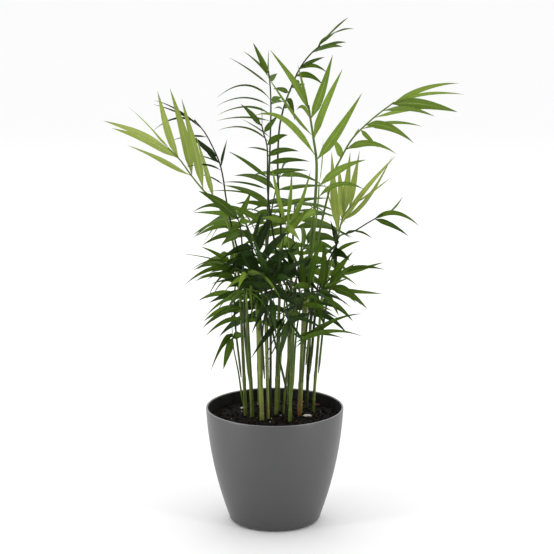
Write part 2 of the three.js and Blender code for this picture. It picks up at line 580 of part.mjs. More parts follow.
// Ways to swing a leaflet aside, in degrees about Z and about the level line across it.
const DIRECTIONS = [[1, 0], [-1, 0], [0, 1], [0, -1], [1, 1], [-1, -1], [1, -1], [-1, 1]];
const SWINGS = [[0, 0]];
for (const size of SWING_SIZES) {
  for (const [turn, lift] of DIRECTIONS) SWINGS.push([turn * size, lift * size]);
}

function swung(base, tip, [turn, lift]) {
  const reach = tip.clone().sub(base);
  const level = new THREE.Vector3(-reach.y, reach.x, 0).normalize();
  reach.applyAxisAngle(level, THREE.MathUtils.degToRad(-lift));
  reach.applyAxisAngle(new THREE.Vector3(0, 0, 1), THREE.MathUtils.degToRad(turn));
  return base.clone().add(reach);
}

// Every solid placed so far, with the piece that owns it.
const placed = [];

// Whether a solid keeps its gap from every other piece placed so far.
function isClear(solid, owner) {
  const box = solid.boundingBox();
  for (const other of placed) {
    if (other.owner === owner) continue;
    let apart = false;
    for (let k = 0; k < 3; k += 1) {
      if (box.min[k] > other.box.max[k] + GAP || other.box.min[k] > box.max[k] + GAP) apart = true;
    }
    if (!apart && solid.minGap(other.solid, GAP) < LEAST_GAP) return false;
  }
  return true;
}

function place(solid, owner) {
  placed.push({ solid, owner, box: solid.boundingBox() });
}

// Loose bits on the soil: name, x, y, half sizes x y z, turn about Z in degrees, tone.
const BITS = [
  ["pebble_right", 43, -5, 6, 3, 1.6, 12, "pebble_white"],
  ["pebble_left", -44, 28, 2.4, 1.8, 1.3, 40, "pebble_white"],
  ["bark_chip_right", 56, 46, 6, 2.6, 1.8, 35, "bark_brown"],
  ["bark_chip_left", -52, -42, 5, 2.4, 1.4, 100, "bark_brown"],
];

function bit([, x, y, halfX, halfY, halfZ, turn]) {
  const away = Math.hypot(x, y);
  const inner = 1 - (1 - SHOULDER_SHARE) * (away / SOIL_SHOULDER);
  const edge = potSide(SOIL_TOP);
  const outer = SHOULDER_SHARE * ((edge - away) / (edge - SOIL_SHOULDER));
  const ground = SOIL_TOP + SOIL_CROWN * Math.min(inner, outer);
  const shape = new THREE.IcosahedronGeometry(1, 0).scale(halfX, halfY, halfZ);
  shape.rotateZ(THREE.MathUtils.degToRad(turn));
  return shape.translate(x, y, ground + halfZ + GAP);
}

const group = new THREE.Group();
group.name = "potted_palm";

function addMesh(name, geometry, tone) {
  const mesh = new THREE.Mesh(geometry, material(tone));
  mesh.name = name;
  group.add(mesh);
}

addMesh("pot", pot(), "pot_grey");
place(toSolid(group.children[0].geometry), "pot");

const holes = [];
for (const cane of CANES) {
  const [name, , , , , , foot, top, tone] = cane;
  const curve = caneCurve(cane);
  const solid = stalk(curve, foot, top, CANE_STEPS, CANE_SIDES);
  place(solid, name);
  holes.push(stalk(curve, foot, top, CANE_STEPS, CANE_SIDES, GAP));
  addMesh(name, toGeometry(solid), tone);
}
addMesh("soil", soil(holes), "soil_dark");
place(toSolid(group.children.at(-1).geometry), "soil");

// Leaflets in pairs along a midrib: they lean forward, more so towards its tip, and hang down.
function pairedTips({ path, pairs }, curve) {
  const { count, length, width, arch, droop, face } = pairs;
  const [least, more] = PAIR_REACH;
  const [start, run] = PAIR_SWELL;
  const [unevenDroop, unevenLength] = PAIR_UNEVEN;
  const rows = [];
  for (let i = 0; i < count; i += 1) {
    const share = BARE + ((1 - BARE) * (i + PAIR_SHIFT)) / count;
    const base = curve.getPointAt(share);
    const tangent = curve.getTangentAt(share);
    const side = new THREE.Vector3().crossVectors(tangent, vector(face)).normalize();
    const opening = THREE.MathUtils.lerp(PAIR_LEAN[0], PAIR_LEAN[1], i / count);
    const lean = THREE.MathUtils.degToRad(opening);
    const reach = length * (least + more * Math.sin(Math.PI * (start + (run * i) / count)));
    for (const hand of [1, -1]) {
      const wobble = Math.sin(7 * i + 3 * hand + path[0][0]);
      const out = tangent.clone().multiplyScalar(Math.cos(lean));
      out.addScaledVector(side, hand * Math.sin(lean)).normalize();
      out.z -= droop * (1 + unevenDroop * wobble);
      const tip = base.clone().addScaledVector(out.normalize(), reach * (1 + unevenLength * wobble));
      rows.push([share, tip.x, tip.y, tip.z, width, arch]);
    }
  }
  const end = curve.getPointAt(1);
  const ahead = curve.getTangentAt(1);
  const last = length * PAIR_END[0];
  rows.push([1, end.x + ahead.x * last, end.y + ahead.y * last,
    end.z + (ahead.z - droop) * last, width * PAIR_END[1], arch]);
  return rows;
}

for (const row of BITS) {
  const geometry = bit(row);
  place(toSolid(geometry), row[0]);
  addMesh(row[0], geometry, row.at(-1));
}

const stalks = new Map();
for (const frond of FRONDS) {
  const curve = frondCurve(frond);
  const tip = Math.max(frond.radius * STALK_TIP, TIE);
  const solid = stalk(curve, frond.radius, tip, stalkSteps(frond), STALK_SIDES);
  place(solid, frond.name);
  stalks.set(frond.name, { curve, solid });
}
for (const frond of FRONDS) {
  const { curve, solid } = stalks.get(frond.name);
  let whole = solid;
  const rows = frond.tips ? fannedTips(frond) : pairedTips(frond, curve);
  for (const [share, x, y, z, width, arch] of rows) {
    const base = onStalk(curve, Math.min(share, MIDRIB_END), stalkSteps(frond));
    const along = curve.getTangentAt(share);
    for (const swing of SWINGS) {
      const tip = swung(base, new THREE.Vector3(x, y, z), swing);
      const blade = leaflet(base, tip, along, width, arch);
      if (!isClear(blade, frond.name)) continue;
      place(blade, frond.name);
      whole = whole.add(blade);
      break;
    }
  }
  addMesh(frond.name, toGeometry(whole), frond.tone);
}

export default group;
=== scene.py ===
"""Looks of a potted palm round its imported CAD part: fine fronds, canes, soil, pot and loose bits.

Metres, +Z up, the front is -Y. The tables of canes, fronds and bits are the part's own, in
millimetres, and every fine piece stands in for the CAD node of the same name.
"""

import math
import random
from collections import namedtuple

import bpy
import numpy as np
from mathutils import Matrix, Vector, noise
from mathutils.bvhtree import BVHTree


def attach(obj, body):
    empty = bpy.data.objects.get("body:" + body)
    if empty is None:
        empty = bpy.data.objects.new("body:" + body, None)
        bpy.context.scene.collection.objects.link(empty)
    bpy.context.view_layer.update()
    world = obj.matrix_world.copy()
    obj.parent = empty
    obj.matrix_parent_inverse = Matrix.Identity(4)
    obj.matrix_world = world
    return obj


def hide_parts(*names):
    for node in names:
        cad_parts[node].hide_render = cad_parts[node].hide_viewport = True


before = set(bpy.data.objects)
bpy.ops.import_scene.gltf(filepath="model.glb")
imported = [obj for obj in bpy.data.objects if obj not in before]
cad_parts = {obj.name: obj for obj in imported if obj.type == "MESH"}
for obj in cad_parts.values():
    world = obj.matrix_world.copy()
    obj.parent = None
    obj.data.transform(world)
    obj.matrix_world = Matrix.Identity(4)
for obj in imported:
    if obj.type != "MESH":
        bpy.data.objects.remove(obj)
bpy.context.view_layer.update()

MM = 0.001
draw = random.Random(7)

# ---- the part's own dimensions, millimetres and degrees
POT_HEIGHT, POT_RIM_RADIUS, POT_FOOT_RADIUS = 156, 91.5, 59
POT_BELLY = 88  # middle control radius of the curved side
POT_EDGE = 7  # rounding where the side meets the underside
POT_WALL, POT_FLOOR = 2.6, 3.4
SOIL_TOP, SOIL_CROWN, SOIL_GAP = 142, 3, 0.9
GAP = 0.4  # air between pieces that rest against each other
CANE_FOOT = 96  # how deep the canes reach into the soil
CANE_SWAY = (0.35, 0.12)  # share of the height where a cane bows out, and by how much
TOP_GAP = 1.5 * GAP  # air between a cane's top and the petiole that carries on from it
JOINT_STRAIGHT = 10  # first run of a petiole that carries on from its cane
STALK_TIP = 0.5  # radius of a midrib at its tip, as a share of its foot
TIE = 0.6  # radius that a midrib never goes below
MIDRIB_END = 0.985  # share of the midrib that the last leaflets grow from
BARE = 0.42  # share of a petiole and midrib that has no paired leaflets
PAIR_LEAN = (66, 34)  # degrees between leaflet and midrib, at its foot and its tip
PAIR_SHIFT = 0.6  # where a pair sits within its share of the midrib
PAIR_REACH = (0.72, 0.28)  # share of the full length for every pair, and what is added
PAIR_SWELL = (0.2, 0.7)  # where in half a wave the added length starts, and its run
PAIR_UNEVEN = (0.3, 0.08)  # how much droop and length differ from leaflet to leaflet
PAIR_END = (0.7, 0.8)  # length and width of the leaflet at the midrib's end, as shares
ARCH_AT = 0.45  # share of a leaflet's length where its arch is centred
FAN_DROP = 0.14  # how much lower a leaflet's tip is for each millimetre it fans backwards
FAN_SPREAD = (0.75, 0.25)  # share of the fan for every leaflet, and how far it varies
SWING_SIZES = (4, 8, 13, 19)  # degrees a leaflet may be swung to clear its neighbours
DIRECTIONS = ((1, 0), (-1, 0), (0, 1), (0, -1), (1, 1), (-1, -1), (1, -1), (-1, 1))

# ---- fineness of the looks
CURVE_SAMPLES = 60  # points on a curve between two of its given points
HEIGHT_SAMPLES = 400  # points tried to find a height on a cane
STALK_SIDES, STALK_STEP, STALK_ROWS = 8, 3, 24
CANE_SIDES, CANE_STEP, CANE_ROWS = 12, 1.6, 40
ROOM_STEPS = 30  # runs of the plain tube that stands for a cane
BLADE_ROWS = 15
BLADE_COLUMNS = (-1, -0.55, 0, 0.55, 1)
POT_SIDES, POT_STEPS, ROUND_STEPS = 160, 40, 8
SOIL_RINGS, SOIL_SIDES, SOIL_LEVELS = 46, 150, 14
CRUMBS, SPECKS = 620, 34
CRUMB_DETAIL, BIT_DETAIL = (5, 8), (14, 22)  # rows and columns of a lump

# ---- the part's tables, millimetres
Cane = namedtuple("Cane", "name foot_x foot_y top_x top_y top_z foot_radius top_radius tone")
Frond = namedtuple("Frond", "name cane at radius tone path fan tips pairs", defaults=(0, (), ()))

CANES = [Cane(*row) for row in [
  ["cane_left_outer", -38, 0, -45, 2, 298, 2.6, 1.9, "cane_green"],
  ["cane_left_front", -29, -9, -36, -14, 286, 2.8, 2.0, "cane_green"],
  ["cane_left_back", -28, 13, -40, 22, 305, 2.3, 1.9, "cane_dark"],
  ["cane_front_thick", -16, -21, -21, -25, 268, 3.4, 2.3, "cane_yellow"],
  ["cane_front_thin", -8, -17, -12, -20, 278, 2.1, 1.7, "cane_yellow"],
  ["cane_middle_dark", -9, 26, -12, 35, 325, 2.3, 2.0, "cane_dark"],
  ["cane_middle_thin", -6, 6, -5, 4, 296, 1.9, 1.6, "cane_dark"],
  ["cane_middle_tall", 1, 3, 7, 4, 330, 2.6, 1.9, "cane_green"],
  ["cane_middle_back", 5, 19, 6, 19, 296, 2.3, 1.8, "cane_green"],
  ["cane_leaning", 9, 8, 23, 10, 268, 1.9, 1.6, "cane_green"],
  ["cane_front_right", 19, -29, 25, -34, 286, 2.5, 1.9, "cane_green"],
  ["cane_crossing", 29, -17, -3, -13, 262, 1.7, 1.4, "cane_dark"],
  ["cane_brown_foot", 32, -2, 38, -8, 296, 3.0, 2.1, "cane_brown"],
  ["cane_right_thick", 32, 13, 44, 12, 330, 3.6, 2.8, "cane_yellow"],
  ["cane_right_dark", 42, 32, 50, 34, 310, 2.3, 1.9, "cane_dark"],
  ["cane_right_outer", 50, 20, 61, 22, 284, 2.2, 1.8, "cane_green"],
  ["cane_back_left", -20, 40, -24, 54, 296, 2.6, 2.1, "cane_green"],
  ["cane_back_right", 18, 42, 22, 60, 306, 2.6, 2.1, "cane_green"],
]]

# A frond leaves its cane at a height, or goes on from its top at 0. The radius is its foot's, and
# the path goes through points of its petiole and midrib. A tip is [share along the path, tip x, y,
# z, width, arch], and a fan moves every second leaflet that much back and the others forward.
# Pairs follow a rule: how many, length, width, arch, droop, and the way the upper side faces.
FRONDS = [
  Frond("frond_pale_left", "cane_left_outer", 0, 1.9, "leaf_pale", fan=34,
    path=[[-49, 4, 345], [-61, 8, 400], [-78, 12, 431], [-92, 14, 444], [-108, 17, 463],
      [-124, 19, 485], [-139, 21, 500]],
    tips=[[1, -219, 10, 537, 11, 4], [0.91, -216, 32, 530, 12, 4], [0.79, -188, -2, 507, 14, 10],
      [1, -193, 24, 554, 9, 8], [0.91, -151, 30, 573, 11, 0], [0.79, -137, 12, 580, 12, 0],
      [0.69, -120, 26, 564, 11, 0], [0.61, -104, 22, 516, 10, 4]]),
  Frond("frond_thin_left", "cane_left_back", 0, 1.6, "leaf_dark", fan=20,
    path=[[-50, 28, 365], [-60, 36, 406], [-65, 42, 434], [-68, 46, 455], [-73, 50, 476],
      [-82, 54, 496], [-92, 58, 514], [-106, 62, 531]],
    tips=[[0.7, -62, 44, 508, 10, 0], [0.76, -106, 46, 522, 8, 2], [0.72, -100, 64, 503, 7, 4],
      [0.93, -160, 60, 557, 4, 16], [0.99, -161, 78, 549, 4, 8], [0.97, -161, 44, 519, 5, 22],
      [0.88, -138, 86, 499, 4, 10], [0.72, -116, 90, 477, 4, 10], [0.68, -118, 28, 470, 4, 10],
      [0.6, -102, 80, 454, 4, 8]]),
  Frond("frond_tall_left", "cane_middle_dark", 0, 1.8, "leaf_mid", fan=36,
    path=[[-11, 36, 380], [-8, 38, 447], [-6, 40, 504], [-5, 42, 553], [-6, 44, 579],
      [-8, 46, 597]],
    tips=[[0.86, -74, 30, 564, 4, 32], [0.83, -77, 46, 551, 4, 28], [0.79, -74, 26, 542, 5, 16],
      [0.76, -78, 56, 530, 4, 14], [0.65, -73, 28, 522, 4, 20], [0.68, -44, 58, 532, 4, 4],
      [0.61, -36, 62, 494, 4, 4], [0.93, -60, 40, 616, 4, 8], [1, -28, 50, 633, 9, 2],
      [1, -8, 60, 624, 8, 0], [0.97, -41, 62, 621, 5, 2], [0.96, 3, 44, 595, 8, 2],
      [0.86, 9, 30, 564, 7, 4], [0.84, 11, 54, 556, 8, 2], [0.48, -60, 30, 494, 6, 8]]),
  Frond("frond_middle", "cane_middle_back", 0, 1.8, "leaf_mid", fan=24,
    path=[[2, 10, 360], [-5, 0, 410], [-9, -6, 447], [-10, -10, 508], [-14, -11, 523],
      [-17, -12, 536]],
    tips=[[1, -43, -16, 562, 8, 4], [1, -17, -24, 565, 5, 0], [0.95, 5, -14, 548, 7, 4],
      [0.88, 17, -22, 523, 9, 6], [0.82, 31, -20, 502, 8, 8], [0.78, 45, -26, 489, 7, 10],
      [0.73, 43, -36, 480, 7, 8], [0.64, -68, -22, 461, 5, 10], [0.58, -90, -12, 448, 5, 14],
      [0.54, -50, -30, 434, 7, 10], [0.5, -28, -34, 420, 7, 8]]),
  Frond("frond_top", "cane_middle_tall", 0, 1.8, "leaf_mid", fan=34,
    path=[[8, 6, 400], [4, 6, 470], [6, 6, 527], [10, 6, 548], [14, 5, 562], [20, 4, 578],
      [32, 3, 605], [45, 2, 623], [58, 0, 635]],
    tips=[[1, 100, -10, 656, 10, 20], [0.99, 95, 2, 672, 8, 8], [0.95, 90, -16, 640, 10, 10],
      [0.97, 88, 14, 633, 9, 8], [0.88, 59, 24, 628, 6, 4], [0.87, 68, -18, 603, 7, 14],
      [0.84, 63, 20, 581, 8, 16], [0.81, 36, -20, 595, 6, 4], [0.79, 37, 26, 588, 6, 2],
      [0.77, -2, 16, 578, 7, 6], [0.78, 12, -16, 558, 9, 4], [0.74, 26, -18, 541, 7, 16],
      [0.76, 25, 24, 562, 5, 4], [0.69, -1, 30, 550, 4, 4], [0.71, 18, 36, 550, 6, 2]]),
  Frond("frond_bright", "cane_right_thick", 0, 2.7, "leaf_bright", fan=38,
    path=[[50, 6, 400], [53, 0, 440], [54, -6, 486], [50, -12, 516], [46, -16, 542],
      [43, -18, 561]],
    tips=[[0.68, 110, -24, 577, 12, 2], [0.8, 87, -32, 610, 12, 0], [0.92, 73, -20, 625, 11, 0],
      [1, 29, -30, 617, 10, 4], [0.96, 5, -14, 638, 10, 0], [0.82, -18, -32, 614, 10, 4],
      [0.7, -24, -38, 551, 8, 48], [0.91, 27, -36, 560, 6, 20]]),
  Frond("frond_arching_right", "cane_right_dark", 0, 1.8, "leaf_bright", fan=40,
    path=[[55, 34, 362], [63, 30, 405], [70, 27, 436], [78, 25, 468], [86, 23, 485],
      [101, 20, 512], [127, 15, 539], [154, 10, 561]],
    tips=[[1, 235, 18, 584, 7, 18], [1, 246, -2, 573, 8, 10], [0.99, 231, -14, 565, 14, 6],
      [0.88, 221, 24, 552, 7, 16], [0.93, 202, -20, 547, 9, 8], [0.8, 195, 32, 526, 7, 20],
      [0.83, 177, -16, 512, 11, 18], [0.8, 134, -26, 507, 6, 2], [0.68, 156, -4, 496, 9, 24],
      [0.75, 112, 44, 522, 6, 2], [0.635, 74, 12, 515, 9, 2]]),
  Frond("frond_pale_right", "cane_right_outer", 0, 1.8, "leaf_pale", fan=34,
    path=[[74, 22, 345], [84, 20, 385], [90, 17, 410], [98, 14, 421], [105, 12, 429]],
    tips=[[0.84, 97, 8, 497, 10, 0], [0.93, 111, -2, 500, 10, 0], [0.8, 81, 14, 477, 10, 0],
      [0.74, 151, -6, 498, 8, 2], [0.8, 152, 20, 490, 6, -16], [1, 152, -10, 465, 6, 2],
      [0.7, 74, 34, 493, 11, 0], [0.66, 62, 36, 459, 9, 2]]),
  Frond("frond_crossing", "cane_brown_foot", 0, 1.7, "leaf_bright", fan=20,
    path=[[46, -18, 350], [52, -24, 400], [56, -28, 440], [57, -30, 463]],
    tips=[[0.97, 116, -32, 493, 10, 14], [0.88, 115, -40, 455, 7, 22],
      [0.75, 30, -54, 414, 10, 10], [1, 62, -44, 523, 8, 0]]),
  Frond("frond_side_right", "cane_right_outer", 196, 1.6, "leaf_mid", fan=22,
    path=[[68, 12, 290], [80, 6, 345], [84, 0, 386], [102, -6, 394], [121, -12, 407],
      [140, -16, 419]],
    tips=[[1, 164, -18, 443, 6, -8], [0.92, 188, -26, 404, 7, 26], [0.95, 173, -12, 390, 7, 10],
      [0.78, 125, -24, 378, 8, 16], [0.88, 136, 0, 378, 8, 14], [0.66, 112, -20, 383, 6, 4]]),
  Frond("frond_dark_right", "cane_right_dark", 206, 1.6, "leaf_dark",
    path=[[56, 24, 290], [66, 6, 342], [83, -14, 383]],
    tips=[[1, 72, -20, 412, 10, 2], [0.96, 82, -32, 409, 6, 2], [0.98, 52, -32, 350, 13, 12],
      [0.9, 97, -28, 360, 11, 8], [0.86, 79, -36, 352, 11, 8], [0.8, 62, -40, 312, 12, 24]]),
  Frond("frond_mid_left", "cane_left_front", 0, 1.8, "leaf_mid",
    path=[[-40, -18, 335], [-42, -24, 378], [-45, -28, 408], [-50, -30, 422]],
    tips=[[1, -105, -20, 422, 11, 2], [0.97, -105, -38, 425, 8, 26], [0.93, -97, -46, 455, 13, 8],
      [0.86, -62, -50, 397, 10, 6], [0.9, -26, -56, 414, 9, 10], [0.95, -30, -34, 452, 8, 4],
      [0.8, -70, -10, 376, 11, 8]]),
  Frond("frond_low_left", "cane_left_outer", 196, 1.7, "leaf_mid",
    path=[[-53, -8, 290], [-51, -14, 332], [-50, -20, 354]],
    tips=[[1, -95, -30, 379, 6, 6], [0.98, -111, -12, 343, 4, 24], [0.95, -118, -34, 328, 11, 30],
      [0.9, -83, -46, 361, 7, 6], [0.85, -90, -42, 306, 8, 44], [0.8, -84, -6, 302, 4, 30],
      [0.9, -100, -22, 336, 4, 8], [0.96, -124, -20, 368, 3, 4], [0.75, -36, -44, 312, 9, 12]]),
  Frond("frond_foot_left", "cane_left_outer", 160, 1.4, "leaf_mid",
    path=[[-48, -9, 205], [-54, -15, 240], [-55, -20, 258]],
    tips=[[1, -84, -30, 212, 13, 30], [0.97, -67, -38, 217, 14, 6], [0.98, -66, -30, 249, 8, 10],
      [0.95, -38, -46, 262, 10, 12], [0.93, -57, 0, 300, 6, 2]]),
  Frond("frond_front", "cane_front_thick", 0, 1.9, "leaf_bright",
    path=[[-26, -36, 310], [-31, -50, 338], [-35, -62, 350]],
    tips=[[0.95, 9, -94, 323, 14, 30], [0.9, -66, -88, 330, 9, 14], [1, -46, -112, 340, 9, 10],
      [1, -14, -108, 358, 9, 10], [0.8, -28, -84, 286, 10, 14]]),
  Frond("frond_front_dark", "cane_front_thick", 190, 1.6, "leaf_dark",
    path=[[-15, -38, 276], [-6, -56, 322], [0, -68, 344]],
    tips=[[0.8, 2, -86, 270, 12, 10], [0.84, -24, -92, 296, 11, 12], [0.92, 26, -96, 316, 10, 12],
      [1, 13, -84, 412, 14, 4], [0.96, -28, -80, 404, 11, 4], [1, 20, -116, 356, 9, 8],
      [0.9, -46, -72, 340, 10, 10], [0.86, 34, -68, 304, 10, 10], [1, 32, -98, 390, 9, 6],
      [0.75, -30, -60, 270, 9, 10]]),
  Frond("frond_front_right", "cane_front_right", 186, 1.6, "leaf_mid",
    path=[[29, -46, 276], [36, -58, 314], [44, -66, 332]],
    tips=[[1, 15, -98, 326, 9, 28], [0.45, 116, -60, 266, 10, 30], [0.5, 88, -52, 262, 6, 8],
      [0.4, 114, -38, 292, 10, 26], [0.8, 74, -84, 306, 9, 12], [1, 60, -84, 404, 10, 4],
      [0.94, 34, -76, 396, 10, 4], [0.9, 56, -112, 330, 9, 12], [0.7, 10, -74, 296, 9, 12]]),
  Frond("frond_low_right", "cane_front_right", 0, 1.7, "leaf_mid",
    path=[[40, -42, 312], [56, -50, 326], [70, -54, 330]],
    tips=[[1, 119, -62, 304, 12, 20], [0.97, 112, -50, 305, 7, 24], [1, 138, -58, 322, 8, 2],
      [0.95, 103, -46, 360, 9, 6], [0.9, 104, -68, 342, 8, 6], [0.8, 82, -84, 300, 10, 12],
      [0.85, 62, -76, 394, 11, 2], [0.7, 60, -88, 288, 9, 10]]),
  Frond("frond_fan_right", "cane_right_thick", 210, 1.9, "leaf_mid",
    path=[[54, 0, 300], [72, -4, 330], [84, -8, 337]],
    tips=[[1, 142, -10, 354, 9, 2], [1, 143, -24, 343, 6, 10], [0.9, 104, -10, 366, 9, 2],
      [0.85, 98, 16, 384, 9, 2], [0.8, 66, -26, 302, 9, 10]]),
  Frond("frond_radiating", "cane_middle_tall", 196, 1.6, "leaf_bright", fan=18,
    path=[[13, -7, 300], [17, -9, 340], [18, -14, 376], [14, -26, 412]],
    tips=[[0.98, -4, -30, 484, 8, 0], [1, 22, -38, 482, 10, 0], [0.95, 46, -34, 480, 9, 0],
      [0.9, 50, -48, 434, 9, 6], [0.96, 34, -72, 392, 11, 14], [1, -17, -62, 422, 9, 8],
      [0.9, 14, -50, 464, 6, 0], [0.88, 4, -60, 376, 9, 10]]),
  Frond("frond_inner_left", "cane_middle_dark", 186, 1.5, "leaf_dark",
    path=[[-20, 24, 286], [-26, 8, 328], [-38, -4, 342]],
    pairs=[6, 68, 12, 20, 0.6, [0, 0.2, 1]]),
  Frond("frond_inner_right", "cane_middle_thin", 0, 1.5, "leaf_dark",
    path=[[-2, -2, 326], [2, -22, 350], [4, -40, 360]],
    tips=[[1, -34, -60, 342, 13, 14], [1, 38, -66, 338, 13, 14], [0.95, -26, -52, 310, 12, 12],
      [0.95, 30, -56, 306, 12, 12], [0.9, -32, -26, 378, 12, 6], [0.9, 30, -24, 386, 12, 6],
      [1, 2, -86, 384, 12, 6], [0.85, -22, -30, 300, 12, 8], [0.85, 26, -30, 296, 12, 8]]),
  Frond("frond_core_left", "cane_front_thin", 0, 1.4, "leaf_dark",
    path=[[-14, -24, 302], [-19, -40, 328], [-24, -54, 340]],
    tips=[[1, -58, -80, 318, 13, 14], [0.95, -6, -86, 306, 13, 10], [0.9, -52, -60, 290, 12, 14],
      [0.75, -22, -84, 262, 12, 6], [1, -36, -104, 312, 12, 8], [1, -20, -110, 354, 11, 6],
      [0.8, -40, -44, 276, 11, 10], [0.95, -48, -40, 384, 11, 2]]),
  Frond("frond_core_right", "cane_leaning", 0, 1.4, "leaf_dark",
    path=[[27, 6, 300], [28, -14, 328], [29, -34, 344]],
    tips=[[1, 62, -58, 318, 13, 14], [0.95, 8, -78, 286, 12, 10], [0.9, 58, -36, 292, 12, 14],
      [0.85, 16, -50, 270, 12, 6], [1, 48, -66, 372, 12, 4], [1, 14, -72, 384, 13, 4],
      [0.8, 44, -18, 276, 11, 10], [0.9, 62, -12, 352, 12, 6], [0.9, 2, -16, 372, 12, 4]]),
  Frond("frond_low_front", "cane_front_right", 216, 1.5, "leaf_dark",
    path=[[20, -44, 262], [19, -60, 286], [14, -72, 298]],
    tips=[[1, -44, -70, 250, 10, 8], [0.95, -20, -90, 248, 11, 10], [0.95, 70, -84, 276, 10, 16],
      [0.9, 4, -84, 238, 12, 8], [0.85, 44, -80, 250, 11, 10], [1, 24, -112, 310, 11, 6],
      [0.9, -14, -76, 228, 11, 6], [0.9, 64, -66, 300, 10, 8]]),
  Frond("frond_inner_high", "cane_crossing", 0, 1.5, "leaf_dark",
    path=[[-12, -12, 310], [-18, -14, 350], [-28, -20, 378]],
    pairs=[6, 62, 12, 14, 0.45, [0, -0.6, 1]]),
  Frond("frond_inner_far", "cane_back_right", 270, 1.5, "leaf_mid",
    path=[[30, 57, 324], [36, 62, 352], [46, 66, 366]],
    pairs=[6, 56, 12, 18, 0.55, [0, -0.2, 1]]),
  Frond("frond_back_right", "cane_back_right", 0, 1.9, "leaf_mid",
    path=[[24, 84, 354], [26, 114, 386], [28, 150, 402], [30, 184, 398]],
    pairs=[6, 92, 10, 18, 0.55, [0, -0.3, 1]]),
  Frond("frond_back_left", "cane_back_left", 0, 1.9, "leaf_mid",
    path=[[-30, 80, 350], [-40, 110, 384], [-50, 140, 396], [-56, 168, 388]],
    pairs=[6, 80, 10, 20, 0.6, [0, -0.3, 1]]),
  Frond("frond_back_low", "cane_back_right", 190, 1.7, "leaf_dark",
    path=[[16, 70, 280], [4, 104, 308], [-4, 132, 306]],
    pairs=[5, 84, 10, 20, 0.6, [0, -0.2, 1]]),
  Frond("frond_back_outer", "cane_right_dark", 190, 1.7, "leaf_mid",
    path=[[55, 48, 286], [60, 74, 316], [64, 100, 328], [66, 126, 320]],
    pairs=[5, 58, 10, 20, 0.6, [0, -0.2, 1]]),
  Frond("frond_back_upper", "cane_back_left", 200, 1.7, "leaf_mid",
    path=[[-18, 64, 290], [-12, 78, 336], [-6, 92, 392], [2, 118, 430], [8, 146, 446]],
    pairs=[6, 84, 9, 14, 0.4, [0, -0.6, 1]]),
  Frond("frond_left_far", "cane_left_back", 190, 1.6, "leaf_mid",
    path=[[-44, 34, 286], [-56, 62, 328], [-64, 88, 340]],
    pairs=[5, 62, 10, 20, 0.6, [0, -0.2, 1]]),
  Frond("frond_near_left", "cane_left_front", 196, 1.6, "leaf_mid",
    path=[[-40, -28, 276], [-38, -66, 328], [-36, -96, 332]],
    pairs=[5, 58, 9, 20, 0.6, [0, 0.3, 1]]),
  Frond("frond_near_right", "cane_brown_foot", 190, 1.6, "leaf_dark",
    path=[[43, -22, 280], [50, -76, 330], [50, -112, 334]],
    pairs=[5, 60, 10, 20, 0.6, [0, 0.3, 1]]),
]

# name, x, y, half sizes x y z, turn about Z in degrees, tone
BITS = [
  ["pebble_right", 43, -5, 6, 3, 1.6, 12, "pebble_white"],
  ["pebble_left", -44, 28, 2.4, 1.8, 1.3, 40, "pebble_white"],
  ["bark_chip_right", 56, 46, 6, 2.6, 1.8, 35, "bark_brown"],
  ["bark_chip_left", -52, -42, 5, 2.4, 1.4, 100, "bark_brown"],
]


# ---- curves
class Curve:
    """A smooth curve through points (centripetal Catmull-Rom), read by share of its length."""

    def __init__(self, points):
        pts = [np.array(p, float) for p in points]
        pts = [2 * pts[0] - pts[1], *pts, 2 * pts[-1] - pts[-2]]
        line = []
        for i in range(1, len(pts) - 2):
            p0, p1, p2, p3 = pts[i - 1:i + 3]
            d0, d1, d2 = (max(np.linalg.norm(b - a), 1e-6) ** 0.5
                          for a, b in ((p0, p1), (p1, p2), (p2, p3)))
            m1 = ((p1 - p0) / d0 - (p2 - p0) / (d0 + d1) + (p2 - p1) / d1) * d1
            m2 = ((p2 - p1) / d1 - (p3 - p1) / (d1 + d2) + (p3 - p2) / d2) * d1
            for k in range(CURVE_SAMPLES):
                t = k / CURVE_SAMPLES
                line.append(p1 * (2 * t ** 3 - 3 * t * t + 1) + m1 * (t ** 3 - 2 * t * t + t)
                            + p2 * (3 * t * t - 2 * t ** 3) + m2 * (t ** 3 - t * t))
        line.append(pts[-2])
        self.line = np.array(line)
        steps = np.linalg.norm(np.diff(self.line, axis=0), axis=1)
        self.run = np.concatenate([[0], np.cumsum(steps)])
        self.length = self.run[-1]

    def at(self, share):
        d = share * self.length
        return np.array([np.interp(d, self.run, self.line[:, k]) for k in range(3)])

    def way(self, share):
        step = 0.002
        v = self.at(min(share + step, 1)) - self.at(max(share - step, 0))
        return v / np.linalg.norm(v)


def unit(v):
    return v / max(np.linalg.norm(v), 1e-12)


def cane_curve(cane):
    foot = np.array([cane.foot_x, cane.foot_y, CANE_FOOT], float)
    top = np.array([cane.top_x, cane.top_y, cane.top_z], float)
    height, sway = CANE_SWAY
    low = foot + (top - foot) * height
    low[:2] += (foot[:2] - top[:2]) * sway
    return Curve([foot, low, top])


def frond_curve(frond):
    """The line of a frond's petiole and midrib, from a small gap off its cane."""
    cane = next(c for c in CANES if c.name == frond.cane)
    curve = cane_curve(cane)
    first = np.array(frond.path[0], float)
    if frond.at:
        shares = np.linspace(0, 1, HEIGHT_SAMPLES)
        side = curve.at(next(s for s in shares if curve.at(s)[2] >= frond.at))
        out = first - side
        out[2] = 0
        start = side + unit(out) * (cane.foot_radius + frond.radius + GAP)
        return Curve([start, *frond.path])
    way = curve.way(1)
    start = curve.at(1) + way * TOP_GAP
    return Curve([start, start + way * JOINT_STRAIGHT, *frond.path])


# ---- meshes
def new_object(name, data):
    obj = bpy.data.objects.new(name, data)
    bpy.context.scene.collection.objects.link(obj)
    return obj


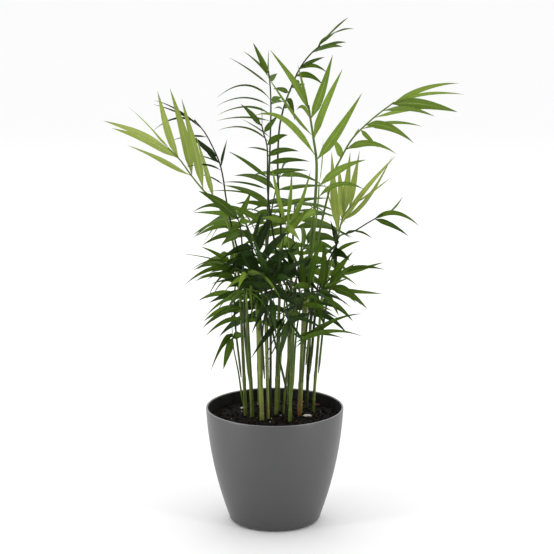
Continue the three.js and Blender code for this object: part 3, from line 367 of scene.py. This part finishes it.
class Build:
    """Gathers vertices, faces, material numbers and per-vertex values of one piece."""

    def __init__(self):
        self.points, self.faces, self.slots = [], [], []
        self.values = {"along": [], "across": [], "tint": []}
        self.count = 0

    def add(self, points, faces, slot=0, along=0.0, across=0.0, tint=0.5):
        n = len(points)
        self.points.append(np.asarray(points, float))
        self.faces += [tuple(i + self.count for i in f) for f in faces]
        self.slots += [slot] * len(faces)
        for key, value in (("along", along), ("across", across), ("tint", tint)):
            self.values[key].append(np.broadcast_to(np.asarray(value, float), (n,)))
        self.count += n

    def piece(self, materials, node):
        """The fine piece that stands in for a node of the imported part."""
        mesh = bpy.data.meshes.new("fine_" + node)
        mesh.from_pydata((np.concatenate(self.points) * MM).tolist(), [], self.faces)
        for key, parts in self.values.items():
            layer = mesh.attributes.new(key, "FLOAT", "POINT")
            layer.data.foreach_set("value", np.concatenate(parts).astype(np.float32))
        for m in materials:
            mesh.materials.append(m)
        mesh.polygons.foreach_set("material_index", self.slots)
        mesh.polygons.foreach_set("use_smooth", [True] * len(self.faces))
        mesh.update()
        obj = new_object("fine_" + node, mesh)
        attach(obj, "root")
        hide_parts(node)


def grid_faces(rows, columns, closed):
    faces = []
    wide = columns if closed else columns - 1
    for r in range(rows - 1):
        for c in range(wide):
            d = (c + 1) % columns
            faces.append((r * columns + c, r * columns + d,
                          (r + 1) * columns + d, (r + 1) * columns + c))
    return faces


def closed_faces(rows, sides):
    """Faces of closed rows, whose ends meet in the two vertices right after the rows."""
    faces = grid_faces(rows, sides, True)
    for c in range(sides):
        d = (c + 1) % sides
        faces.append((d, c, rows * sides))
        faces.append(((rows - 1) * sides + c, (rows - 1) * sides + d, rows * sides + 1))
    return faces


def circle(sides):
    """Cosine and sine at even steps round a circle."""
    angles = [2 * math.pi * k / sides for k in range(sides)]
    return [(math.cos(a), math.sin(a)) for a in angles]


ODD_WAY = (0.3, 1, 0.1)  # a direction that no stalk runs along


def tube(build, centres, radii, sides, slot, along=None, tint=0.5):
    """A round tube through centres, closed at both ends."""
    centres = np.asarray(centres, float)
    n = len(centres)
    ways = np.gradient(centres, axis=0)
    ways /= np.linalg.norm(ways, axis=1)[:, None]
    side = unit(np.cross(ways[0], ODD_WAY))
    points = []
    for i in range(n):
        side = unit(side - ways[i] * side.dot(ways[i]))
        other = np.cross(ways[i], side)
        points += [centres[i] + radii[i] * (c * side + s * other) for c, s in circle(sides)]
    points += [centres[0], centres[-1]]
    share = np.repeat(np.linspace(0, 1, n) if along is None else along, sides)
    share = np.concatenate([share, [share[0], share[-1]]])
    build.add(points, closed_faces(n, sides), slot, along=share, tint=tint)


# ---- leaflets
WIDEST_EARLY = 0.62  # below 1, a leaflet is widest nearer to its foot
FULLNESS = 0.95  # below 1, a leaflet's sides run more nearly level
FOOT_RUN, FOOT_WIDTH = 0.24, 0.26  # share of the length that narrows, and the width left
LEAST_HALF_WIDTH = 0.08
WAVES = 9  # how fast a leaflet's edge goes up and down
SWAY_EARLY = 0.8  # below 1, a leaflet bends sideways nearer to its foot


def blade_width(t):
    """Share of a leaflet's full width at share t of its length: narrow foot, drawn-out tip."""
    body = math.sin(math.pi * t ** WIDEST_EARLY) ** FULLNESS if 0 < t < 1 else 0
    foot = min(t / FOOT_RUN, 1)
    return body * (FOOT_WIDTH + (1 - FOOT_WIDTH) * foot * foot * (3 - 2 * foot))


def blade(base, tip, along, width, arch, shape):
    """Vertices of one leaflet as rows across it, with its shares along and across."""
    roll, twist, fold, wave, phase, sway = shape
    length = np.linalg.norm(tip - base)
    middle = base + (tip - base) * ARCH_AT
    middle[2] += arch
    points, shares, sides = [], [], []
    for i in range(BLADE_ROWS):
        t = i / (BLADE_ROWS - 1)
        centre = (1 - t) ** 2 * base + 2 * t * (1 - t) * middle + t * t * tip
        tangent = unit((1 - t) * (middle - base) + t * (tip - middle))
        across = unit(along - tangent * along.dot(tangent))
        centre = centre + across * length * sway * math.sin(math.pi * t ** SWAY_EARLY)
        up = np.cross(across, tangent)
        if up[2] < 0:
            up = -up
        angle = roll + twist * t
        turned = across * math.cos(angle) + up * math.sin(angle)
        normal = up * math.cos(angle) - across * math.sin(angle)
        half = width / 2 * blade_width(t) + LEAST_HALF_WIDTH
        for c in BLADE_COLUMNS:
            drop = fold * half * abs(c) - wave * half * math.sin(WAVES * t + phase) * c
            points.append(centre + turned * half * c - normal * drop)
            shares.append(t)
            sides.append(c)
    return np.array(points), np.array(shares), np.array(sides)


# Least and most of a leaflet's roll, twist, fold, wave, phase of its wave, and sideways sway.
BLADE_SHAPES = ((-0.35, 0.35), (-0.5, 0.5), (0.16, 0.4), (0, 0.12), (0, 6.3), (-0.045, 0.045))
BLADE_FACES = grid_faces(BLADE_ROWS, len(BLADE_COLUMNS), False)


def swings():
    """Ways to swing a leaflet aside, in degrees about Z and about the level line across it."""
    yield 0, 0
    for size in SWING_SIZES:
        for turn, lift in DIRECTIONS:
            yield turn * size, lift * size


def swung(base, tip, turn, lift):
    reach = Vector(tip - base)
    level = Vector((-reach.y, reach.x, 0)).normalized()
    reach = Matrix.Rotation(math.radians(-lift), 3, level) @ reach
    reach = Matrix.Rotation(math.radians(turn), 3, "Z") @ reach
    return base + np.array(reach)


def tree_and_box(points, faces):
    return BVHTree.FromPolygons([tuple(p) for p in points], faces), points.min(0), points.max(0)


class Room:
    """What has been placed so far, so that a new leaflet can be swung clear of it."""

    def __init__(self):
        self.taken = []

    def clear(self, item):
        tree, low, high = item
        for other, other_low, other_high in self.taken:
            apart = (low > other_high).any() or (other_low > high).any()
            if not apart and tree.overlap(other):
                return False
        return True


def fanned_tips(frond):
    """The leaflets of a frond's table, fanned out in turn to the back and to the front."""
    rows = []
    least, more = FAN_SPREAD
    for i, (share, x, y, z, width, arch) in enumerate(frond.tips):
        back = frond.fan * (1 if i % 2 else -1) * (least + more * math.sin(3 * i))
        rows.append([share, x, y + back, z - FAN_DROP * back, width, arch])
    return rows


def paired_tips(frond, curve):
    """Leaflets in pairs along a midrib: they lean forward, more so at its tip, and hang down."""
    count, length, width, arch, droop, face = frond.pairs
    least, more = PAIR_REACH
    swell, run = PAIR_SWELL
    uneven_droop, uneven_length = PAIR_UNEVEN
    rows = []
    for i in range(count):
        share = BARE + (1 - BARE) * (i + PAIR_SHIFT) / count
        base, tangent = curve.at(share), curve.way(share)
        side = unit(np.cross(tangent, face))
        lean = math.radians(PAIR_LEAN[0] + (PAIR_LEAN[1] - PAIR_LEAN[0]) * i / count)
        reach = length * (least + more * math.sin(math.pi * (swell + run * i / count)))
        for hand in (1, -1):
            wobble = math.sin(7 * i + 3 * hand + frond.path[0][0])
            out = unit(tangent * math.cos(lean) + side * hand * math.sin(lean))
            out[2] -= droop * (1 + uneven_droop * wobble)
            tip = base + unit(out) * reach * (1 + uneven_length * wobble)
            rows.append([share, *tip, width, arch])
    end, ahead = curve.at(1), curve.way(1)
    ahead[2] -= droop
    rows.append([1, *(end + ahead * length * PAIR_END[0]), width * PAIR_END[1], arch])
    return rows


# ---- materials
def new_material(name):
    material = bpy.data.materials.new(name)
    material.use_nodes = True
    tree = material.node_tree
    tree.nodes.clear()
    return material, tree


def feed(tree, socket, value):
    """Links an input socket to another node's result, or sets it to a plain value."""
    if isinstance(value, bpy.types.NodeSocket):
        tree.links.new(value, socket)
    else:
        socket.default_value = value


def node(tree, kind, inputs=None, **settings):
    made = tree.nodes.new("ShaderNode" + kind)
    for key, value in settings.items():
        setattr(made, key, value)
    for key, value in (inputs or {}).items():
        feed(tree, made.inputs[key], value)
    return made


def attribute(tree, name):
    return node(tree, "Attribute", attribute_name=name).outputs["Fac"]


def calc(tree, operation, *values):
    """The result of a sum on numbers or sockets."""
    return node(tree, "Math", dict(enumerate(values)), operation=operation).outputs[0]


def times(tree, a, b):
    return calc(tree, "MULTIPLY", a, b)


def mix(tree, factor, a, b):
    return node(tree, "Mix", {0: factor, 6: a, 7: b}, data_type="RGBA").outputs[2]


def remap(tree, value, low, high, out_low=0.0, out_high=1.0):
    made = node(tree, "MapRange", {"Value": value, "From Min": low, "From Max": high,
                                             "To Min": out_low, "To Max": out_high})
    return made.outputs["Result"]


def cloudy(tree, scale, detail=3.0, vector=None):
    if vector is None:
        vector = node(tree, "TexCoord").outputs["Object"]
    inputs = {"Scale": scale, "Detail": detail, "Vector": vector}
    return node(tree, "TexNoise", inputs).outputs["Fac"]


def rgb(r, g, b):
    """A colour given as it looks, 0 to 255, as linear light."""
    def linear(v):
        v /= 255
        return v / 12.92 if v <= 0.04045 else ((v + 0.055) / 1.055) ** 2.4
    return linear(r), linear(g), linear(b), 1


def surface(tree, colour, roughness, bump, distance, specular=0.4, through=None, share=0.0):
    """A Principled surface with a bump, with some light let through where share is above 0."""
    normal = node(tree, "Bump", {"Height": bump, "Distance": distance, "Strength": 1.0})
    shader = node(tree, "BsdfPrincipled", {
        "Base Color": colour, "Roughness": roughness, "Normal": normal.outputs[0],
        "Specular IOR Level": specular})
    out = node(tree, "OutputMaterial")
    result = shader.outputs[0]
    if share:
        glow = node(tree, "BsdfTranslucent", {"Color": through, "Normal": normal.outputs[0]})
        result = node(tree, "MixShader", {
            "Fac": share, 1: result, 2: glow.outputs[0]}).outputs[0]
    tree.links.new(result, out.inputs["Surface"])


DRY_END = rgb(128, 104, 52)


def leaf_material(name, dark, light, rib, through, share):
    """A leaflet: cloudy green, its own tint, a paler midrib, fine veins and a dry end.

    The share of the light that goes through it takes the colour through.
    """
    material, tree = new_material(name)
    along, across, tint = (attribute(tree, k) for k in ("along", "across", "tint"))
    cloud = cloudy(tree, 38, 4)
    fleck = cloudy(tree, 420, 2)
    blend = calc(tree, "MULTIPLY_ADD", cloud, 0.5, times(tree, tint, 0.75))
    blend = calc(tree, "SUBTRACT", blend, 0.12)
    colour = mix(tree, blend, dark, light)
    away = calc(tree, "ABSOLUTE", across)
    midrib = remap(tree, away, 0.16, 0.02)
    midrib = times(tree, midrib, remap(tree, along, 0.95, 0.5, 0.1, 0.55))
    colour = mix(tree, midrib, colour, rib)
    veins = calc(tree, "SINE", times(tree, across, 26.0))
    colour = mix(tree, remap(tree, veins, 0.2, 1, 0.0, 0.16), colour, rib)
    colour = mix(tree, remap(tree, fleck, 0.62, 0.8, 0.0, 0.25), colour, dark)
    end = times(tree, remap(tree, along, 0.93, 1.0, 0.0, 0.75), tint)
    colour = mix(tree, end, colour, DRY_END)
    height = calc(tree, "MULTIPLY_ADD", veins, 0.35, times(tree, cloud, 0.8))
    height = calc(tree, "ADD", height, times(tree, midrib, 1.5))
    rough = remap(tree, cloud, 0.3, 0.7, 0.42, 0.56)
    surface(tree, colour, rough, height, 0.00025, 0.14, mix(tree, 0.5, colour, through), share)
    return material


def stalk_material(name, dark, light, foot, joint):
    """Green stalks and canes: long fibres, a paler ring at each joint, and a coloured foot."""
    material, tree = new_material(name)
    along, ring, tint = (attribute(tree, k) for k in ("along", "across", "tint"))
    place = node(tree, "TexCoord").outputs["Object"]
    stretched = node(tree, "Mapping", {"Vector": place, "Scale": (1, 1, 0.05)}).outputs[0]
    fibre = cloudy(tree, 700, 3, stretched)
    patch = cloudy(tree, 45, 3, place)
    blend = calc(tree, "MULTIPLY_ADD", patch, 0.9, times(tree, tint, 0.4))
    blend = calc(tree, "SUBTRACT", blend, 0.2)
    colour = mix(tree, blend, dark, light)
    colour = mix(tree, remap(tree, fibre, 0.35, 0.7, 0.0, 0.35), colour, dark)
    colour = mix(tree, remap(tree, along, 0.34, 0.1, 0.0, 0.8), colour, foot)
    colour = mix(tree, times(tree, ring, 0.75), colour, joint)
    height = calc(tree, "ADD", times(tree, fibre, 0.6), patch)
    surface(tree, colour, remap(tree, patch, 0.3, 0.7, 0.42, 0.6), height, 0.0003, 0.2)
    return material


def looks(make, table, start="leaf_"):
    """A material of each tone, from its colours and any plain numbers after them."""
    made = {}
    for tone, values in table.items():
        values = (rgb(*v) if isinstance(v, tuple) else v for v in values)
        made[tone] = make(tone.replace("leaf_", start), *values)
    return made


# Dark, light, midrib, the light that comes through, and its share.
LEAVES = looks(leaf_material, {
    # painted light: the pale tone's light yellow-green is partly the leaflets' younger colour and
    # partly a painted glow of light coming through them from behind
    "leaf_pale": ((114, 132, 60), (158, 173, 94), (182, 194, 128), (172, 188, 72), 0.42),
    "leaf_bright": ((70, 95, 26), (124, 149, 58), (154, 172, 98), (134, 161, 30), 0.3),
    "leaf_mid": ((34, 56, 6), (84, 112, 26), (106, 128, 52), (92, 124, 10), 0.2),
    "leaf_dark": ((16, 31, 7), (45, 69, 20), (66, 90, 38), (50, 76, 4), 0.12),
})
# Dark, light, foot and joint: the petioles and midribs by the tone of their leaflets, then canes.
STALKS = looks(stalk_material, {
    "leaf_pale": ((76, 96, 34), (128, 146, 62), (98, 118, 52), (136, 150, 80)),
    "leaf_bright": ((62, 86, 26), (116, 138, 52), (92, 112, 48), (130, 146, 74)),
    "leaf_mid": ((26, 36, 14), (58, 74, 28), (88, 106, 44), (86, 98, 48)),
    "leaf_dark": ((18, 24, 12), (38, 48, 22), (72, 88, 38), (58, 66, 36)),
}, "stalk_")
CANE_LOOKS = looks(stalk_material, {
    "cane_green": ((54, 72, 24), (118, 136, 60), (94, 106, 44), (124, 136, 70)),
    "cane_yellow": ((80, 92, 32), (150, 158, 82), (122, 124, 58), (156, 158, 96)),
    "cane_dark": ((28, 38, 14), (66, 82, 32), (54, 62, 28), (72, 84, 42)),
    "cane_brown": ((64, 74, 30), (116, 126, 62), (116, 62, 38), (110, 98, 58)),
})


def soil_material():
    """Nearly black earth, with some crumbs browner by their tint."""
    material, tree = new_material("soil")
    clump = cloudy(tree, 180, 5)
    grain = cloudy(tree, 1400, 4)
    tint = attribute(tree, "tint")
    colour = mix(tree, remap(tree, clump, 0.35, 0.7), rgb(12, 11, 8), rgb(28, 25, 20))
    colour = mix(tree, remap(tree, tint, 0.5, 1.0, 0.0, 0.6), colour, rgb(70, 54, 40))
    colour = mix(tree, remap(tree, grain, 0.55, 0.75, 0.0, 0.5), colour, rgb(6, 6, 5))
    height = calc(tree, "ADD", clump, times(tree, grain, 0.5))
    surface(tree, colour, remap(tree, grain, 0.3, 0.7, 0.8, 1.0), height, 0.0015, 0.1)
    return material


def pot_material():
    """Grey plastic, with a pale painted highlight on the lip's edge, where the value tint is 0.5,
    and dark painted shade inside it.
    """
    material, tree = new_material("pot_plastic")
    cloud = cloudy(tree, 14, 3)
    grain = cloudy(tree, 2600, 2)
    place = attribute(tree, "tint")
    # painted shade: where the value tint goes past 0.5, the inside of the wall is coloured near
    # black
    inside = remap(tree, place, 0.5, 1.0)
    # painted highlight: a paler grey on the lip's rounded edge stands in for light catching it
    lip = remap(tree, calc(tree, "ABSOLUTE", calc(tree, "SUBTRACT", place, 0.5)), 0.5, 0.0)
    colour = mix(tree, cloud, rgb(44, 44, 46), rgb(49, 49, 51))
    colour = mix(tree, lip, colour, rgb(112, 112, 115))
    colour = mix(tree, inside, colour, rgb(10, 10, 9))
    rough = remap(tree, cloud, 0.3, 0.7, 0.36, 0.42)
    surface(tree, colour, rough, grain, 0.00004, 0.95)
    return material


def plain_material(name, dark, light, scale, roughness, distance):
    material, tree = new_material(name)
    cloud = cloudy(tree, scale, 4)
    grain = cloudy(tree, scale * 6, 3)
    colour = mix(tree, remap(tree, cloud, 0.3, 0.7), dark, light)
    height = calc(tree, "ADD", cloud, times(tree, grain, 0.4))
    surface(tree, colour, remap(tree, grain, 0.3, 0.7, roughness - 0.08, roughness), height,
            distance, 0.3)
    return material


PERLITE = plain_material("pebble", rgb(190, 186, 176), rgb(232, 230, 222), 320, 0.9, 0.0006)
BARK = plain_material("bark", rgb(50, 31, 22), rgb(100, 66, 45), 260, 0.95, 0.0012)
SOIL = soil_material()
POT = pot_material()
# painted shade: the pot's inside wall and floor are the same grey plastic, coloured near black
POT_INSIDE_SHADE = plain_material("pot_inside_shade", rgb(15, 15, 14), rgb(27, 26, 24), 30, 0.9, 0.0002)


# ---- canes
FIRST_JOINT = (150, 165)
JOINT_SPACING = (38, 66)
SPACING_GROWTH = 260  # height over which the spacing doubles
JOINT_TOP = 12  # a cane's last run without a joint
RING_HALF, RING_VALUE, RING_SWELL = 1.1, 0.6, 0.04
WAIST_RUN, WAIST = 14, 0.12  # a cane is a little slimmer just above each joint
COLLAR_DROP, COLLAR_HALF, COLLAR_SWELL = 3, 5, 0.35  # where a petiole leaves
RIPPLE, RIPPLE_SWELL = 0.21, 0.03
FOOT_START, FOOT_RUN_UP = SOIL_TOP - 10, 150  # the heights that the value along goes over


def make_cane(cane):
    curve = cane_curve(cane)
    build = Build()
    joints = []
    z = draw.uniform(*FIRST_JOINT)
    while z < cane.top_z - JOINT_TOP:
        joints.append(z)
        z += draw.uniform(*JOINT_SPACING) * (1 + (z - FIRST_JOINT[0]) / SPACING_GROWTH)
    collars = [f.at for f in FRONDS if f.cane == cane.name and f.at]
    rows = max(int(curve.length / CANE_STEP), CANE_ROWS)
    centres, radii, rings = [], [], []
    for i in range(rows + 1):
        share = i / rows
        point = curve.at(share)
        radius = cane.foot_radius + (cane.top_radius - cane.foot_radius) * share
        ring = 0.0
        for joint in joints:
            over = point[2] - joint
            ring = max(ring, RING_VALUE * math.exp(-(over / RING_HALF) ** 2))
            if 0 < over < WAIST_RUN:
                radius -= WAIST * (1 - over / WAIST_RUN)
        for collar in collars:
            over = (point[2] - collar + COLLAR_DROP) / COLLAR_HALF
            radius += COLLAR_SWELL * math.exp(-over ** 2)
        ripple = RIPPLE_SWELL * math.sin(point[2] * RIPPLE + cane.foot_x)
        centres.append(point)
        radii.append(radius * (1 + RING_SWELL * ring) * (1 + ripple))
        rings.append(ring)
    heights = np.array([p[2] for p in centres])
    along = np.clip((heights - FOOT_START) / FOOT_RUN_UP, 0, 1)
    tube(build, centres, radii, CANE_SIDES, 0, along=along, tint=draw.random())
    build.values["across"][-1] = np.concatenate([np.repeat(rings, CANE_SIDES), [0, 0]])
    build.piece([CANE_LOOKS[cane.tone]], cane.name)


# ---- fronds
SLIM_FOOT, SLIM_RUN = 0.4, 14  # a petiole out of a cane's side starts slim over this length
THIN_WIDTH, THIN_SHARE, WIDE_SHARE = 5, 0.62, 0.98  # leaflets up to this width are finer here
STALK_FADE = 200  # the length that the value along goes over on a stalk
CLEAR_FROM = 2  # rows at a leaflet's foot that may touch their neighbours
BODY_FACES = grid_faces(BLADE_ROWS - CLEAR_FROM, len(BLADE_COLUMNS), False)
room = Room()
lines = {}


def keep_clear_of(centres, radii):
    build = Build()
    tube(build, centres, radii, STALK_SIDES, 0)
    room.taken.append(tree_and_box(np.concatenate(build.points), build.faces))


for frond in FRONDS:
    curve = frond_curve(frond)
    tip_radius = max(frond.radius * STALK_TIP, TIE)
    rows = max(int(curve.length / STALK_STEP), STALK_ROWS)
    centres = [curve.at(i / rows) for i in range(rows + 1)]
    radii = [frond.radius + (tip_radius - frond.radius) * i / rows for i in range(rows + 1)]
    keep_clear_of(centres, radii)
    lines[frond.name] = (curve, centres, radii)
for cane in CANES:
    curve = cane_curve(cane)
    centres = [curve.at(i / ROOM_STEPS) for i in range(ROOM_STEPS + 1)]
    keep_clear_of(centres, [cane.foot_radius] * len(centres))


def make_frond(frond):
    curve, centres, radii = lines[frond.name]
    build = Build()
    runs = np.linspace(0, curve.length, len(centres))
    slim = SLIM_FOOT + (1 - SLIM_FOOT) * runs / SLIM_RUN if frond.at else np.ones(len(runs))
    tube(build, centres, radii * np.minimum(1, slim), STALK_SIDES, 1,
         along=np.minimum(runs / STALK_FADE, 1), tint=draw.random())
    rows = fanned_tips(frond) if frond.tips else paired_tips(frond, curve)
    for share, x, y, z, width, arch in rows:
        base = curve.at(min(share, MIDRIB_END))
        along = curve.way(share)
        shape = [draw.uniform(low, high) for low, high in BLADE_SHAPES]
        tint = draw.random()
        wide = width * (THIN_SHARE if width <= THIN_WIDTH else WIDE_SHARE)
        for turn, lift in swings():
            tip = swung(base, np.array([x, y, z], float), turn, lift)
            points, shares, sides = blade(base, tip, along, wide, arch, shape)
            item = tree_and_box(points[CLEAR_FROM * len(BLADE_COLUMNS):], BODY_FACES)
            if room.clear(item):
                room.taken.append(item)
                build.add(points, BLADE_FACES, 0, along=shares, across=sides, tint=tint)
                break
    build.piece([LEAVES[frond.tone], STALKS[frond.tone]], frond.name)


for cane in CANES:
    make_cane(cane)
for frond in FRONDS:
    make_frond(frond)


# ---- pot
def pot_side(z):
    t = z / POT_HEIGHT
    return (1 - t) ** 2 * POT_FOOT_RADIUS + 2 * t * (1 - t) * POT_BELLY + t * t * POT_RIM_RADIUS


def lathe(build, profile, sides, lip):
    """Turns a closed profile of (radius, height) about Z, from the axis back to the axis.

    Tint is 0 before the lip, 0.5 on it, and 1 after it, where the second material starts.
    """
    inner = profile[1:-1]
    points = [(r * c, r * s, z) for r, z in inner for c, s in circle(sides)]
    points += [(0, 0, profile[0][1]), (0, 0, profile[-1][1])]
    faces = closed_faces(len(inner), sides)
    rings = np.arange(len(inner))
    tint = 0.5 * (rings >= lip[0]) + 0.5 * (rings >= lip[1])
    build.add(points, faces, tint=np.concatenate([tint.repeat(sides), [0, 1]]))
    build.slots = [int(min(face) >= lip[1] * sides) for face in faces]


LIP = POT_WALL / 2  # radius of the rim's rounding
FLOOR_RISE = 5  # where the inside's rounding starts above the pot's floor
FLOOR_RINGS = (20, 40)


def make_pot():
    foot = POT_FOOT_RADIUS - POT_EDGE
    profile = [(r, 0) for r in (0, *FLOOR_RINGS, foot - 3, foot)]
    for k in range(1, ROUND_STEPS):
        a = math.pi / 2 * k / ROUND_STEPS
        reach = (pot_side(POT_EDGE) - foot) * math.sin(a)
        profile.append((foot + reach, POT_EDGE * (1 - math.cos(a))))
    shoulder = POT_HEIGHT - LIP
    for i in range(POT_STEPS + 1):
        z = POT_EDGE + (shoulder - POT_EDGE) * i / POT_STEPS
        profile.append((pot_side(z), z))
    middle = pot_side(POT_HEIGHT) - LIP
    for k in range(1, ROUND_STEPS):
        a = math.pi * k / ROUND_STEPS
        profile.append((middle + LIP * math.cos(a), shoulder + LIP * math.sin(a)))
    top = len(profile) - 1
    for i in range(POT_STEPS + 1):
        z = shoulder - (shoulder - POT_FLOOR - FLOOR_RISE) * i / POT_STEPS
        profile.append((pot_side(z) - POT_WALL, z))
    corner = pot_side(POT_FLOOR) - POT_WALL
    profile += [(corner - 4, POT_FLOOR + 0.6), (corner - 10, POT_FLOOR)]  # a rounded corner
    profile += [(FLOOR_RINGS[0], POT_FLOOR), (0, POT_FLOOR)]
    build = Build()
    lathe(build, profile, POT_SIDES, (top - ROUND_STEPS + 2, top))
    # the second material is painted shade on the pot's inside
    build.piece([POT, POT_INSIDE_SHADE], "pot")


# ---- soil
SOIL_EDGE = pot_side(SOIL_TOP) - POT_WALL - SOIL_GAP  # radius of the soil's top
SOIL_LUMPS = ((0.05, 1, 2.2), (0.16, 5, 1.5), (0.5, 9, 0.8))  # scale, layer and height
SOIL_SUNK = 1.2  # how much lower the uneven top is on average
SKIRT_DROP, SKIRT_RISE = 6, 4  # from the soil's top and floor to the ends of its side
SOIL_CORNER = 5  # how much narrower the soil is at its floor
SPECK_SIZES, CRUMB_SIZES = (0.5, 1.3), (0.7, 2.7)
CRUMB_INSET = 5  # how far the crumbs stay from the soil's edge
CRUMB_RISE = 0.4  # share of a crumb's half height that its middle is above the ground


def ground(x, y):
    """Height of the soil's top at a place, in millimetres."""
    share = min(math.hypot(x, y) / SOIL_EDGE, 1)
    level = SOIL_TOP + SOIL_CROWN * (1 - share ** 3)
    lumps = 0
    for scale, layer, height in SOIL_LUMPS:
        lumps += noise.noise(Vector((x * scale, y * scale, layer))) * height
    return level + lumps - SOIL_SUNK


LUMP_DEPTH, LUMP_SCALE = 0.42, 1.7  # how uneven a lump is, and how finely


def lump(centre, sizes, turn, seed, detail):
    """An uneven lump: the points and faces of a displaced ball."""
    rows, columns = detail
    points = []
    for i in range(1, rows):
        polar = math.pi * i / rows
        across = math.sin(polar)
        points += [(across * c, across * s, math.cos(polar)) for c, s in circle(columns)]
    points += [(0, 0, 1), (0, 0, -1)]
    made = []
    c, s = math.cos(turn), math.sin(turn)
    for p in points:
        grow = 1 + LUMP_DEPTH * noise.noise(Vector(p) * LUMP_SCALE + Vector((seed, 0, 0)))
        x, y, z = (p[k] * sizes[k] * grow for k in range(3))
        made.append((centre[0] + c * x - s * y, centre[1] + s * x + c * y, centre[2] + z))
    return made, [face[::-1] for face in closed_faces(rows - 1, columns)]


def make_soil():
    build = Build()
    rounds = circle(SOIL_SIDES)
    floor = POT_FLOOR + GAP
    points = []
    for i in range(1, SOIL_RINGS + 1):
        r = SOIL_EDGE * i / SOIL_RINGS
        points += [(r * c, r * s, ground(r * c, r * s)) for c, s in rounds]
    for z in np.linspace(SOIL_TOP - SKIRT_DROP, floor + SKIRT_RISE, SOIL_LEVELS):
        r = pot_side(z) - POT_WALL - SOIL_GAP
        points += [(r * c, r * s, z) for c, s in rounds]
    r = pot_side(floor) - POT_WALL - SOIL_CORNER
    points += [(r * c, r * s, floor) for c, s in rounds]
    points += [(0, 0, ground(0, 0)), (0, 0, floor)]
    faces = closed_faces(SOIL_RINGS + SOIL_LEVELS + 1, SOIL_SIDES)
    build.add(points, [face[::-1] for face in faces], tint=0.3)
    for index in range(CRUMBS + SPECKS):
        away = (SOIL_EDGE - CRUMB_INSET) * math.sqrt(draw.random())
        a = draw.uniform(0, 2 * math.pi)
        x, y = away * math.cos(a), away * math.sin(a)
        white = index >= CRUMBS
        size = draw.uniform(*SPECK_SIZES) if white else draw.uniform(*CRUMB_SIZES) ** 1.1
        sizes = (size, size * draw.uniform(0.5, 0.9), size * draw.uniform(0.4, 0.8))
        centre = (x, y, ground(x, y) + sizes[2] * CRUMB_RISE)
        turn, seed = draw.uniform(0, 3), draw.uniform(0, 90)
        made, made_faces = lump(centre, sizes, turn, seed, CRUMB_DETAIL)
        build.add(made, made_faces, int(white), tint=draw.random())
    build.piece([SOIL, PERLITE], "soil")


SEED_SPREAD = 0.37  # how fast a bit's unevenness changes with its place
BIT_RISE = 0.3  # air under a bit
BIT_LOOKS = {"pebble_white": (PERLITE, "pebble"), "bark_brown": (BARK, "bark")}


def make_bit(name, x, y, half_x, half_y, half_z, turn, tone):
    material, slot_name = BIT_LOOKS[tone]
    build = Build()
    centre = (x, y, max(ground(x, y), SOIL_TOP) + half_z + BIT_RISE)
    sizes = (half_x, half_y, half_z)
    build.add(*lump(centre, sizes, math.radians(turn), x * SEED_SPREAD, BIT_DETAIL))
    build.piece([material], name)


make_pot()
make_soil()
for row in BITS:
    make_bit(*row)


# ---- floor, light and camera
FLOOR_HALF = 40  # metres
SUN_SPREAD, SUN_TILT = 100, -18  # degrees
CAMERA_PLACE, CAMERA_DOWN, CAMERA_LENS = (0.003, -2.493, 0.894), 12.7, 126.7


def floor_material():
    material, tree = new_material("floor")
    cloud = cloudy(tree, 3, 2)
    colour = mix(tree, cloud, (0.92, 0.92, 0.92, 1), (0.93, 0.93, 0.93, 1))
    surface(tree, colour, 0.9, cloud, 0.0001, 0.1)
    return material


def make_floor():
    mesh = bpy.data.meshes.new("floor")
    signs = ((-1, -1), (1, -1), (1, 1), (-1, 1))
    corners = [(x * FLOOR_HALF, y * FLOOR_HALF, 0) for x, y in signs]
    mesh.from_pydata(corners, [], [(0, 1, 2, 3)])
    mesh.materials.append(floor_material())
    new_object("floor", mesh)


def soft_light(name, azimuth, elevation, distance, size, power, aim=(0, 0, 0.3)):
    """A soft box at a turn from the front and a height in degrees, facing the point aim."""
    light = bpy.data.lights.new(name, "AREA")
    light.shape = "RECTANGLE"
    light.size, light.size_y = size
    light.energy = power
    a, e = math.radians(azimuth), math.radians(elevation)
    place = Vector((math.sin(a) * math.cos(e), -math.cos(a) * math.cos(e), math.sin(e)))
    obj = new_object(name, light)
    obj.location = place * distance + Vector(aim)
    obj.rotation_mode = "QUATERNION"
    obj.rotation_quaternion = place.to_track_quat("Z", "Y")


def soft_sun(name, strength):
    """A wide even light from above and a little behind."""
    light = bpy.data.lights.new(name, "SUN")
    light.energy = strength
    light.angle = math.radians(SUN_SPREAD)
    obj = new_object(name, light)
    obj.location = (0, 1, 3)
    obj.rotation_euler = (math.radians(SUN_TILT), 0, 0)


def make_world():
    """White all round, darker towards the camera's side."""
    world = bpy.data.worlds.new("studio")
    world.use_nodes = True
    tree = world.node_tree
    back = tree.nodes["Background"]
    back.inputs["Color"].default_value = (1, 1, 1, 1)
    way = node(tree, "TexCoord").outputs["Generated"]
    parts = node(tree, "SeparateXYZ", {"Vector": way}).outputs
    front = remap(tree, parts["Y"], -0.95, -0.3, 0.3, 1.0)
    height = remap(tree, parts["Z"], 0.12, 0.3, 1.03, 0.86)
    tree.links.new(times(tree, front, height), back.inputs["Strength"])
    bpy.context.scene.world = world


def make_camera():
    data = bpy.data.cameras.new("camera")
    data.lens = CAMERA_LENS
    data.sensor_width = 36
    data.clip_end = 200
    camera = new_object("camera", data)
    camera.location = CAMERA_PLACE
    camera.rotation_euler = (math.radians(90 - CAMERA_DOWN), 0, 0)
    bpy.context.scene.camera = camera


make_floor()
make_world()
soft_light("key_left", -62, 0, 2.0, (0.36, 1.0), 16, (0, 0, 0.52))
soft_light("fill_right", 54, 0, 2.0, (0.32, 1.0), 14, (0, 0, 0.52))
soft_light("back", 180, 38, 2.6, (2.0, 1.4), 9)
soft_sun("overhead", 0.88)
make_camera()
bpy.context.scene.view_settings.view_transform = "Standard"
